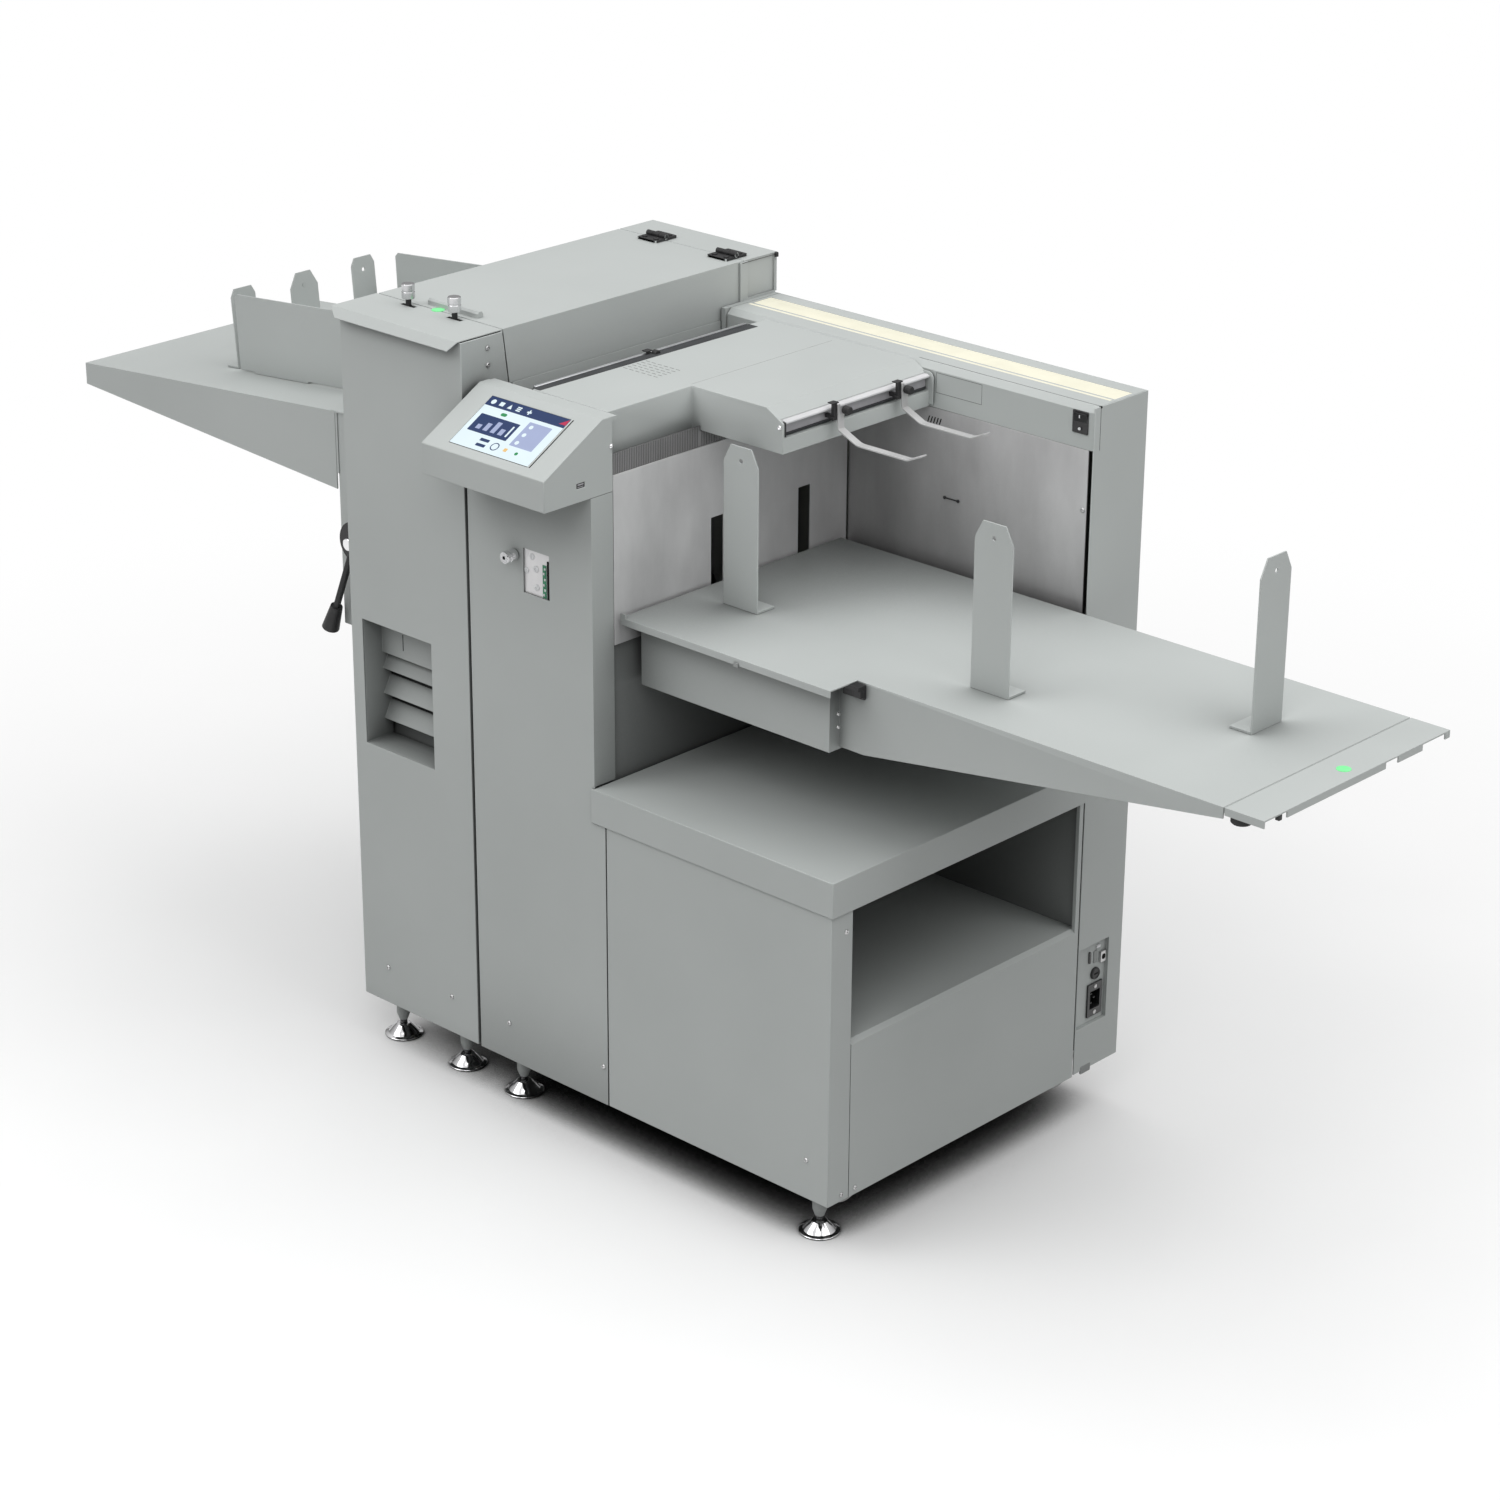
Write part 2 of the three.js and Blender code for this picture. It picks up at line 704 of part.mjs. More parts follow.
function infillCover() {
  const front = prismAlongY([
    [infillLeft, 0],
    [infillLowRight, 0],
    [infillLowRight, infillStepZ],
    [infillRight, infillStepZ],
    [infillRight, infillTop],
    [infillLeft, infillTop],
  ], 0, sheet);
  const right = block(infillRight - sheet, infillRight, 0, infillReturn, shelfTop + sheet, infillTop);
  const left = block(infillLeft, infillLeft + sheet, 0, infillLeftReturn, 0, infillTop);
  const window = block(windowLeft, windowLeft + windowWidth, -cutOver, sheet + cutOver,
    windowBottom, windowBottom + windowHeight);
  const shaftHole = rodAlongY(settingKnobX, -cutOver, sheet + cutOver, settingKnobZ,
    settingShaftRadius + runClearance);
  return cut(join([front, right, left]), [window, shaftHole]);
}

painted("infill_cover", infillCover());

const scalePlateBorder = 6;
piece("scale_plate", block(windowLeft - scalePlateBorder, windowLeft + windowWidth + scalePlateBorder,
  sheet + seat, sheet + seat + sheet, windowBottom - scalePlateBorder,
  windowBottom + windowHeight + scalePlateBorder), steel, 0.35, 1);

const settingKnobRadius = 8.5;
const settingKnobLength = 20;
const settingKnobStandoff = 1;
const settingShaftInside = 9;

function settingKnob() {
  const back = -settingKnobStandoff;
  const body = rodAlongY(settingKnobX, back - settingKnobLength, back, settingKnobZ,
    settingKnobRadius, 32);
  const shaft = rodAlongY(settingKnobX, back, settingShaftInside, settingKnobZ, settingShaftRadius);
  return join([body, shaft]);
}

piece("setting_knob", settingKnob(), chrome, 0.15, 1);

// Top plate over the tower's front, with its visor lip and the two knob slots
const topPlateBack = 77.7;
const topPlateOverhang = 2;
const lipFold = 4;
const lipReach = 16;
const lipShortRight = 9;
const lipShortLeft = 22;
const knobY = 68;
const knobLeftInset = 66;
const knobRightInset = 85;
const knobSlotLength = 28;
const knobSlotWidth = 7;
const knobLeftX = towerLeft + knobLeftInset;
const knobRightX = towerRight - knobRightInset;

function topPlate() {
  const left = hoodLeft - topPlateOverhang;
  const lipEnd = towerTop - (lipReach - lipFold);
  const profile = [
    [topPlateBack, towerTop],
    [-lipFold, towerTop],
    [-lipReach, lipEnd],
    [-lipReach + sheet * Math.SQRT1_2, lipEnd - sheet * Math.SQRT1_2],
    [-lipFold + sheet * (Math.SQRT2 - 1), towerTop - sheet],
    [topPlateBack, towerTop - sheet],
  ];
  const plate = prismAlongX(profile, left, hoodRight);
  const slots = [knobLeftX, knobRightX].map((x) =>
    block(x - knobSlotLength / 2, x + knobSlotLength / 2, knobY - knobSlotWidth / 2,
      knobY + knobSlotWidth / 2, towerTop - sheet - cutOver, towerTop + cutOver));
  const lipCorners = [[hoodRight, cutOver, -lipShortRight], [left, -cutOver, lipShortLeft]].map(
    ([corner, outward, short]) => prismAlongY([
      [corner, towerTop - sheet],
      [corner + outward, towerTop - sheet],
      [corner + outward, lipEnd - sheet - cutOver],
      [corner + short, lipEnd - sheet - cutOver],
      [corner + short, lipEnd - sheet],
    ], -lipReach - cutOver, 0));
  return cut(plate, [...slots, ...lipCorners]);
}

painted("top_plate", topPlate());

const topKnobRadius = 8;
const topKnobHeight = 24;
const topKnobStem = 8;
const topKnobStemRadius = 3;
const topKnobNut = 7;

function topKnob(x) {
  const stemTop = towerTop + topKnobStem;
  const nutTop = towerTop - sheet - seat;
  return turned([
    [0, nutTop - topKnobNut],
    [topKnobRadius, nutTop - topKnobNut],
    [topKnobRadius, nutTop],
    [topKnobStemRadius, nutTop],
    [topKnobStemRadius, stemTop],
    [topKnobRadius, stemTop],
    [topKnobRadius, stemTop + topKnobHeight],
    [0, stemTop + topKnobHeight],
  ], x, knobY);
}

piece("top_knob_left", topKnob(knobLeftX), chrome, 0.15, 1);
piece("top_knob_right", topKnob(knobRightX), chrome, 0.15, 1);

// Hood: top, two sides with slanted front edges, pull bar, and the hinges' moving leaves
const hoodFront = 80;
const hoodFrontLow = 90;
const hoodBack = hingeSeamY - coverJoint;
const pullWidth = 100;
const pullDepth = 10;
const pullRise = 9;
const pullOffset = 10;
const pullY = 94;
const pullChamfer = 3;
const pullX = towerMiddle + pullOffset;

const hingeAxisRise = 5.5;
const knuckleRadius = 4;
const hingePinRadius = 2;
const hingePinClearance = 0.4;
const hingeWidth = 38;
const hingeLeaf = 18;
const hingeLeafThickness = 3.5;
const knuckleShare = 1 / 3;
const knuckleGap = 0.5;
const hingeLeftInset = 68;
const hingeRightInset = 36;
const hingeAxisZ = towerTop + hingeAxisRise;
const hingeLeftX = towerLeft + hingeLeftInset;
const hingeRightX = towerRight - hingeRightInset;

function movingLeaf(x) {
  const half = hingeWidth / 2;
  const third = hingeWidth * knuckleShare / 2 + knuckleGap;
  const leaf = block(x - half, x + half, hingeSeamY - knuckleRadius - hingeLeaf,
    hingeSeamY - knuckleRadius - knuckleGap, towerTop - sheet / 2, towerTop + hingeLeafThickness);
  const arms = [[-half, -third], [third, half]].flatMap(([from, to]) => [
    block(x + from, x + to, hingeSeamY - knuckleRadius - sheet, hingeSeamY,
      hingeAxisZ - knuckleRadius, towerTop + hingeLeafThickness),
    rodAlongX(x + from, x + to, hingeSeamY, hingeAxisZ, knuckleRadius, 16),
  ]);
  const bore = rodAlongX(x - half - cutOver, x + half + cutOver, hingeSeamY, hingeAxisZ,
    hingePinRadius + hingePinClearance, 16);
  return cut(join([leaf, ...arms]), [bore]);
}

function hood() {
  const top = block(hoodLeft, hoodRight, hoodFront, hoodBack, towerTop - sheet, towerTop);
  const side = [
    [hoodFront, towerTop],
    [hoodFrontLow, hoodSideBottom],
    [hoodBack, hoodSideBottom],
    [hoodBack, towerTop],
  ];
  const sides = [hoodLeft, hoodRight - sheet].map((x) => prismAlongX(side, x, x + sheet));
  const pull = prismAlongX([
    [pullY - pullDepth / 2, towerTop - sheet / 2],
    [pullY + pullDepth / 2, towerTop - sheet / 2],
    [pullY + pullDepth / 2, towerTop + pullRise - pullChamfer],
    [pullY + pullDepth / 2 - pullChamfer, towerTop + pullRise],
    [pullY - pullDepth / 2 + pullChamfer, towerTop + pullRise],
    [pullY - pullDepth / 2, towerTop + pullRise - pullChamfer],
  ], pullX - pullWidth / 2, pullX + pullWidth / 2);
  return join([top, ...sides, pull, movingLeaf(hingeLeftX), movingLeaf(hingeRightX)]);
}

painted("hood", hood());

function fixedLeaf(x) {
  const half = hingeWidth / 2;
  const third = hingeWidth * knuckleShare / 2;
  const back = hingeSeamY + knuckleRadius;
  const leaf = block(x - half, x + half, back + knuckleGap, back + hingeLeaf, towerTop + seat,
    towerTop + hingeLeafThickness);
  const arm = block(x - third, x + third, hingeSeamY, back + sheet, hingeAxisZ - knuckleRadius,
    towerTop + hingeLeafThickness);
  const knuckle = rodAlongX(x - third, x + third, hingeSeamY, hingeAxisZ, knuckleRadius, 16);
  const pin = rodAlongX(x - half, x + half, hingeSeamY, hingeAxisZ, hingePinRadius, 16);
  return join([leaf, arm, knuckle, pin]);
}

piece("hood_hinge_left", fixedLeaf(hingeLeftX), black, 0.5, 0);
piece("hood_hinge_right", fixedLeaf(hingeRightX), black, 0.5, 0);

// Rear housing: back, right side with the inlet opening, left side
const housingStepRise = 4;
const inletSetback = 5;
const inletWidth = 66;
const inletBottom = 71;
const inletHeight = 124;
const housingStepZ = shelfTop + housingStepRise;
const inletFront = cabinetDepth + inletSetback;
const inletBack = inletFront + inletWidth;
const inletTop = inletBottom + inletHeight;

function rearHousing() {
  const side = [
    [housingLowerFront, sheet],
    [bodyDepth, sheet],
    [bodyDepth, consoleTop],
    [housingUpperFront, consoleTop],
    [housingUpperFront, housingStepZ],
    [housingLowerFront, housingStepZ],
  ];
  const right = prismAlongX(side, -sheet, 0);
  const left = block(housingLeft, housingLeft + sheet, housingLowerFront, bodyDepth,
    railTop + sheet, consoleTop - sheet - seat);
  const back = block(housingLeft, 0, bodyDepth - sheet, bodyDepth, sheet, consoleTop);
  const opening = block(-sheet - cutOver, cutOver, inletFront, inletBack, inletBottom, inletTop);
  return cut(join([right, left, back]), [opening]);
}

painted("rear_housing", rearHousing());

// Inlet panel: a pan let into the housing's side, and the appliance inlet in it
const panDepth = 5;
const panRim = 3;
const socketSetback = 45;
const socketRise = 33;
const socketWidth = 32;
const socketHeight = 51;
const socketBodyWidth = 28;
const socketBodyHeight = 34;
const socketBodyDepth = 24;
const socketCavityWidth = 22;
const socketCavityHeight = 27;
const socketCavityDepth = 16;
const socketFlange = 2.5;
const socketWall = 1;
const pinReach = 12;
const pinWidth = 2;
const pinHeight = 5;
const pinOffset = 7;
const socketY = inletFront + socketSetback;
const socketZ = inletBottom + socketRise;

function inletPanel() {
  const outerX = -sheet - seat;
  const backX = -sheet - panDepth;
  const pan = cut(
    block(backX - sheet, outerX, inletFront - sheet / 2, inletBack + panRim, inletBottom - panRim,
      inletTop + panRim),
    [block(backX, outerX + cutOver, inletFront + sheet / 2, inletBack, inletBottom, inletTop)]);
  const hole = block(backX - sheet - cutOver, backX + cutOver,
    socketY - socketBodyWidth / 2 - seat, socketY + socketBodyWidth / 2 + seat,
    socketZ - socketBodyHeight / 2 - seat, socketZ + socketBodyHeight / 2 + seat);
  return cut(pan, [hole]);
}

piece("inlet_panel", inletPanel(), steel, 0.5, 0.3);

function mainsInlet() {
  const seatX = -sheet - panDepth + seat;
  const faceX = seatX + socketFlange;
  const flange = block(seatX, faceX, socketY - socketWidth / 2, socketY + socketWidth / 2,
    socketZ - socketHeight / 2, socketZ + socketHeight / 2);
  const body = block(faceX - socketBodyDepth, seatX + socketWall, socketY - socketBodyWidth / 2,
    socketY + socketBodyWidth / 2, socketZ - socketBodyHeight / 2, socketZ + socketBodyHeight / 2);
  const cavity = block(faceX - socketCavityDepth, faceX + cutOver, socketY - socketCavityWidth / 2,
    socketY + socketCavityWidth / 2, socketZ - socketCavityHeight / 2,
    socketZ + socketCavityHeight / 2);
  const floorX = faceX - socketCavityDepth;
  const pins = [[-pinOffset / 2, -pinOffset], [-pinOffset / 2, pinOffset], [pinOffset / 2, 0]].map(
    ([y, z]) => block(floorX - socketWall, floorX + pinReach, socketY + y - pinHeight / 2,
      socketY + y + pinHeight / 2, socketZ + z - pinWidth / 2, socketZ + z + pinWidth / 2));
  return join([cut(join([flange, body]), [cavity]), ...pins]);
}

piece("mains_inlet", mainsInlet(), black, 0.4, 0);

// Console: fascia, rounded front edge and top with the light's slot; the lens; the power switch
const consoleFasciaDepth = 60;
const consoleBend = 8;
const consoleReturn = 12;
const lightInset = 62;
const lightDepth = 38;
const lightEnd = 5;
const lensFlange = 6;
const lensSkin = 0.5;
const consoleRight = -sheet - seat;
const consoleLeft = housingLeft + sheet + seat;
const consoleFasciaBottom = consoleTop - consoleFasciaDepth;
const lightFront = bodyDepth - lightInset;
const switchInset = 24.5;
const switchDrop = 23.5;
const switchWidth = 22;
const switchHeight = 28;
const switchDepth = 14;
const switchCrown = 3;
const switchAxisDepth = 4;
const switchRearShare = 1 / 3;
const switchTilt = THREE.MathUtils.degToRad(6);
const switchX = -switchInset;
const switchZ = consoleTop - switchDrop;

function consoleShell() {
  const bottom = consoleFasciaBottom;
  const shell = prismAlongX([
    [fasciaFront, bottom],
    [fasciaFront, consoleTop - consoleBend],
    [fasciaFront + consoleBend, consoleTop],
    [bodyDepth - sheet - seat, consoleTop],
    [bodyDepth - sheet - seat, consoleTop - sheet],
    [fasciaFront + consoleBend + sheet / 2, consoleTop - sheet],
    [fasciaFront + sheet, consoleTop - consoleBend - sheet / 2],
    [fasciaFront + sheet, bottom + sheet],
    [fasciaFront + consoleReturn, bottom + sheet],
    [fasciaFront + consoleReturn, bottom],
  ], consoleLeft, consoleRight);
  const lightSlot = block(consoleLeft + lightEnd, consoleRight - lightEnd, lightFront,
    lightFront + lightDepth, consoleTop - sheet - cutOver, consoleTop + cutOver);
  const switchHole = block(switchX - switchWidth / 2 - runClearance,
    switchX + switchWidth / 2 + runClearance, fasciaFront - cutOver, fasciaFront + sheet + cutOver,
    switchZ - switchHeight / 2 - runClearance, switchZ + switchHeight / 2 + runClearance);
  return cut(shell, [lightSlot, switchHole]);
}

painted("console_shell", consoleShell());

function lightLens() {
  const low = consoleTop - sheet - seat;
  const flange = block(consoleLeft + lightEnd - lensFlange / 2, consoleRight - lightEnd + lensFlange / 2,
    lightFront - lensFlange, lightFront + lightDepth + lensFlange, low - sheet, low);
  const face = block(consoleLeft + lightEnd + seat, consoleRight - lightEnd - seat, lightFront + seat,
    lightFront + lightDepth - seat, low - sheet / 2, consoleTop - lensSkin);
  return join([flange, face]);
}

piece("light_lens", lightLens(), warmWhite, 0.4, 0);

function powerSwitch() {
  const front = -switchCrown - switchAxisDepth;
  const tip = switchHeight / 2 - runClearance;
  const rear = switchDepth / 2 - switchAxisDepth;
  return prismAlongX([
    [front, -tip],
    [front + switchCrown / 2, 0],
    [front, tip],
    [rear, switchHeight * switchRearShare],
    [rear, -switchHeight * switchRearShare],
  ], -switchWidth / 2, switchWidth / 2);
}

const rocker = piece("power_switch", powerSwitch(), black, 0.35, 0);
rocker.rotation.x = switchTilt;
rocker.position.set(switchX, fasciaFront + switchAxisDepth, switchZ);

// Control box with its sloped face and the touch screen let into it
const controlFront = -84;
const controlBack = 41;
const controlFaceHeight = 43;
const controlFlatTop = 18;
const controlBottom = infillTop + seat;
const controlLeftInset = 4;
const controlLeft = infillLeft + controlLeftInset;
const controlRight = infillRight - seat;
const controlTop = consoleTop + seat;
const usbFront = -25;
const usbWidth = 15;
const usbRise = 18.7;
const usbHeight = 7;
const usbBottom = controlBottom + usbRise;
const screenWidth = 154;
const screenLength = 92;
const screenThickness = 2;
const screenRecess = 2.6;
const screenBacking = 2;

const slopeFoot = new THREE.Vector2(controlFront, controlBottom + controlFaceHeight);
const slopeHead = new THREE.Vector2(controlBack - controlFlatTop, controlTop);
const slopeAngle = Math.atan2(slopeHead.y - slopeFoot.y, slopeHead.x - slopeFoot.x);
const slopeMiddle = slopeFoot.clone().add(slopeHead).divideScalar(2);
const controlMiddle = (controlLeft + controlRight) / 2;

function controlProfile(inset, back) {
  const slopeInset = inset / Math.cos(slopeAngle);
  return [
    [controlFront + inset, controlBottom + inset],
    [controlFront + inset, slopeFoot.y + inset * Math.tan(slopeAngle) - slopeInset],
    [slopeHead.x + inset / Math.sin(slopeAngle) - inset / Math.tan(slopeAngle), controlTop - inset],
    [back, controlTop - inset],
    [back, controlBottom + inset],
  ];
}

function onSlope(made) {
  const turn = THREE.MathUtils.radToDeg(slopeAngle);
  return made.rotate([turn, 0, 0]).translate([controlMiddle, slopeMiddle.x, slopeMiddle.y]);
}

function controlBox() {
  const shell = cut(
    prismAlongX(controlProfile(0, controlBack), controlLeft, controlRight),
    [prismAlongX(controlProfile(sheet, controlBack + cutOver), controlLeft + sheet,
      controlRight - sheet)]);
  const halfWidth = screenWidth / 2 + seat;
  const halfLength = screenLength / 2 + seat;
  const backing = onSlope(block(-halfWidth - sheet, halfWidth + sheet, -halfLength - sheet,
    halfLength + sheet, -screenRecess - screenBacking, -sheet / 2));
  const recess = onSlope(block(-halfWidth, halfWidth, -halfLength, halfLength, -screenRecess, cutOver));
  const usb = block(controlRight - sheet - cutOver, controlRight + cutOver, usbFront,
    usbFront + usbWidth, usbBottom, usbBottom + usbHeight);
  return cut(join([shell, backing]), [recess, usb]);
}

painted("control_box", controlBox());

const screen = piece("touch_screen",
  block(-screenWidth / 2, screenWidth / 2, -screenLength / 2, screenLength / 2,
    -screenRecess + seat, -screenRecess + seat + screenThickness),
  screenBlue, 0.15, 0);
screen.rotation.x = slopeAngle;
screen.position.set(controlMiddle, slopeMiddle.x, slopeMiddle.y);

// Feed head: L-shaped in plan, sloped right shoulder, channel for the hook rail, drum bearings
const headFront = 50;
const headWideShare = 0.4055;
const headWidth = 306;
const headNarrowWidth = 141;
const headOverhang = 147;
const shoulderWidth = 30;
const shoulderDrop = 17;
const channelRise = 22;
const channelHeight = 24;
const channelDepth = 14;
const railHeight = 20;
const railDepth = 12;
const channelEnd = 4;
const drumInset = 70;
const drumRise = 24;
const drumJournal = 6;
const drumRib = 4;
const drumRibFront = 60;
const headWideFront = cabinetDepth * headWideShare;
const headBack = fasciaFront - seat;
const headRight = infillRight + headOverhang;
const headLeft = headRight - headWidth;
const headNarrowRight = headLeft + headNarrowWidth;
const channelBottom = headBottom + channelRise;
const drumX = headLeft + drumInset;
const drumZ = headBottom + drumRise;

function feedHead() {
  const channelTop = channelBottom + channelHeight;
  const narrow = block(headLeft, headNarrowRight, headFront, headBack, headBottom, consoleTop);
  const wide = prismAlongY([
    [headNarrowRight - sheet, headBottom],
    [headRight, headBottom],
    [headRight, consoleTop - shoulderDrop],
    [headRight - shoulderWidth, consoleTop],
    [headNarrowRight - sheet, consoleTop],
  ], headWideFront, headBack);
  const narrowInside = block(headLeft + sheet, headNarrowRight - sheet, headFront + sheet,
    headBack - sheet, headBottom - cutOver, consoleTop - sheet);
  const insideRight = headRight - channelDepth - sheet;
  const wideInside = prismAlongY([
    [headNarrowRight - sheet - cutOver, headBottom - cutOver],
    [headRight - sheet, headBottom - cutOver],
    [headRight - sheet, channelBottom - sheet],
    [insideRight, channelBottom - sheet],
    [insideRight, channelTop + sheet / 2],
    [headRight - shoulderWidth - sheet / 2, consoleTop - sheet],
    [headNarrowRight - sheet - cutOver, consoleTop - sheet],
  ], headWideFront + sheet, headBack - sheet);
  const channel = block(headRight - channelDepth, headRight + cutOver, headWideFront + channelEnd,
    headBack - channelEnd, channelBottom, channelTop);
  const ribs = [drumRibFront, headBack - drumRibFront + headFront].map((y) =>
    block(headLeft, headNarrowRight, y, y + drumRib, headBottom + sheet, consoleTop));
  const bore = rodAlongY(drumX, headFront + sheet, headBack - sheet, drumZ, drumJournal + runClearance);
  const shell = cut(join([narrow, wide]), [narrowInside, wideInside, channel]);
  return cut(join([shell, ...ribs]), [bore]);
}

painted("feed_head", feedHead());

function suctionDrum() {
  const ribBack = headBack - drumRibFront + headFront;
  const endGap = 3;
  const body = rodAlongY(drumX, drumRibFront + drumRib + endGap, ribBack - endGap, drumZ, drumRadius, 32);
  const shaft = rodAlongY(drumX, drumRibFront - endGap, ribBack + drumRib + endGap, drumZ, drumJournal);
  return join([body, shaft]);
}

piece("suction_drum", suctionDrum(), alloy, 0.35, 1);

const railMiddle = channelBottom + channelHeight / 2;
const railBack = headRight - channelDepth + seat;
const grooveHeight = 6;
const grooveDepth = 5;

function headRail() {
  const body = block(railBack, railBack + railDepth, headWideFront + channelEnd + seat,
    headBack - channelEnd - seat, railMiddle - railHeight / 2, railMiddle + railHeight / 2);
  const groove = block(railBack + railDepth - grooveDepth, railBack + railDepth + cutOver,
    headWideFront, headBack, railMiddle - grooveHeight / 2, railMiddle + grooveHeight / 2);
  return cut(body, [groove]);
}

piece("head_rail", headRail(), alloy, 0.3, 1);

// Hold-down hooks: clamp on the rail's groove, bent strip, and a thumb knob each
const hookFrontShare = 0.5887;
const hookRearShare = 0.8285;
const clampWidth = 13;
const clampRise = 14;
const clampFall = 8;
const clampBefore = 9;
const clampAfter = 22;
const tongueClearance = 0.4;
const stripWidth = 8;
const stripThickness = 2.5;
const hookDrop = 31;
const hookReach = 26;
const hookFall = 14;
const hookLength = 98;
const hookTip = 20;
const hookTipRise = 11;
const thumbOffset = 14;
const thumbRise = 4;
const thumbRadius = 7;
const thumbLength = 9;

function hook(y) {
  const near = headRight + seat;
  const clampOuter = near + clampWidth;
  const clamp = block(near, clampOuter, y - clampBefore, y + clampAfter,
    railMiddle - clampFall, railMiddle + clampRise);
  const tongue = block(railBack + railDepth - grooveDepth + tongueClearance, near + sheet,
    y - clampBefore, y + clampAfter, railMiddle - grooveHeight / 2 + tongueClearance,
    railMiddle + grooveHeight / 2 - tongueClearance);
  const top = railMiddle + clampRise;
  const knee = top - hookDrop;
  const floor = knee - hookFall;
  const far = clampOuter + stripThickness;
  const bar = prismAlongY([
    [clampOuter, top],
    [far, top],
    [far, knee],
    [far + hookReach, floor],
    [far + hookReach + hookLength, floor],
    [far + hookReach + hookLength + hookTip, floor + hookTipRise],
    [far + hookReach + hookLength + hookTip, floor + hookTipRise - stripThickness],
    [far + hookReach + hookLength, floor - stripThickness],
    [far + hookReach - stripThickness / 2, floor - stripThickness],
    [clampOuter, knee - stripThickness / 2],
  ], y - stripWidth / 2, y + stripWidth / 2);
  return join([clamp, tongue, bar]);
}

function thumbKnob(y) {
  const near = headRight + seat + clampWidth + seat;
  return rodAlongX(near, near + thumbLength, y + thumbOffset, railMiddle + thumbRise,
    thumbRadius, 12);
}

for (const [end, share] of [["front", hookFrontShare], ["rear", hookRearShare]]) {
  const y = cabinetDepth * share;
  piece("hook_" + end, hook(y), alloy, 0.25, 1);
  piece("thumb_knob_" + end, thumbKnob(y), black, 0.5, 0);
}

// Lay plate with the feed deck, and the steel guide plate at the rear of the bay
const layPlateGap = 3;
const deckLeftInset = 9;
const deckFrontGap = 3;
const guideRightInset = 10;
const layBack = fasciaFront - layPlateGap;
const deckLeft = infillLeft + deckLeftInset;
const deckFront = controlBack + deckFrontGap;

function layPlate() {
  const upright = cut(
    block(infillRight - sheet, infillRight, controlBack + seat, layBack, layPlateBottom, deckTop),
    armSlots(infillRight - sheet, infillRight, layPlateBottom - cutOver, slotTop));
  const deck = block(deckLeft, infillRight, deckFront, layBack, deckTop - sheet, deckTop);
  return join([upright, deck]);
}

piece("lay_plate", layPlate(), steel, 0.35, 1);
piece("rear_guide_plate", block(infillRight, -guideRightInset, fasciaFront, fasciaFront + sheet,
  shelfTop + sheet, consoleFasciaBottom - seat), steel, 0.35, 1);

// Lift rails inside the infill
const railTopRise = 18;

function liftRails() {
  const bottom = liftBracketTop + seat;
  const top = slotTop + railTopRise;
  const plates = [bottom, top].map((z) =>
    block(railX - railRadius * 2, infillRight - sheet - seat, armY[0] - liftBracketEnd,
      armY[1] + liftBracketEnd, z, z + railPlateThickness));
  const trimmed = cut(plates[0], [block(wallX - seat, infillRight, 0, bodyDepth, 0, towerTop)]);
  const rods = armY.map((y) => rodAlongZ(railX, y, bottom, top + railPlateThickness, railRadius));
  return join([trimmed, plates[1], ...rods]);
}

piece("lift_rails", liftRails(), steel, 0.3, 1);

// Feed table: top sheet, front strip's flange, box underneath, tapering sides, lift arms
const tableGap = 4;
const tableStepInset = 52;
const tableEnd = 524;
const tableFront = 48;
const tableSideFront = 100;
const tableBackInset = 28;
const tableFlange = 10;
const tabLength = 10;
const tabRise = 6;
const boxLeftInset = 6;
const boxRightInset = 81.5;
const boxFront = 81;
const sideLow = 100;
const sideFlatInset = 39;
const sideEndHeight = 15;
const carriageHalf = 20;
const carriageHeight = 50;
const armReach = 120;
const carriageClearance = 0.6;
const tableLeft = infillRight + tableGap;
const tableStepX = -tableStepInset;
const tableBack = cabinetDepth - tableBackInset;
const boxLeft = tableLeft + boxLeftInset;
const boxRight = -boxRightInset;

function tableSide(y) {
  return prismAlongY([
    [boxRight, tableTop],
    [boxRight, tableTop - sideLow],
    [-sideFlatInset, tableTop - sideLow],
    [tableEnd, tableTop - sideEndHeight],
    [tableEnd, tableTop],
  ], y, y + sheet);
}

function feedTable() {
  const low = tableTop - sheet;
  const top = [
    block(tableLeft, tableStepX, tableFront, tableBack, low, tableTop),
    block(tableStepX - sheet, tableEnd, tableSideFront, tableBack, low, tableTop),
  ];
  const flange = block(tableLeft, tableStepX, tableFront, tableFront + sheet,
    tableTop - tableFlange, tableTop);
  const tab = block(tableLeft, tableLeft + tabLength, tableFront, tableFront + sheet, low,
    tableTop + tabRise);
  const box = [
    block(boxLeft, boxRight, boxFront, boxFront + sheet, boxBottom, tableTop),
    block(boxLeft, boxRight, boxFront, tableBack, boxBottom, boxBottom + sheet),
    block(boxRight - sheet, boxRight, boxFront, tableBack, boxBottom, tableTop),
    block(boxLeft, boxRight, tableBack - sheet, tableBack, boxBottom, tableTop),
  ];
  const arms = armY.map((y) => block(railX, boxLeft + armReach, y - armWidth / 2, y + armWidth / 2,
    armBottom, boxBottom + sheet / 2));
  const carriages = armY.map((y) => block(railX - carriageHalf, railX + carriageHalf,
    y - carriageHalf, y + carriageHalf, armBottom, armBottom + carriageHeight));
  const bores = armY.map((y) => rodAlongZ(railX, y, armBottom - cutOver,
    armBottom + carriageHeight + cutOver, railRadius + carriageClearance));
  const whole = join([...top, flange, tab, ...box, tableSide(tableSideFront),
    tableSide(tableBack - sheet), ...arms, ...carriages]);
  return cut(whole, bores);
}

painted("feed_table", feedTable());

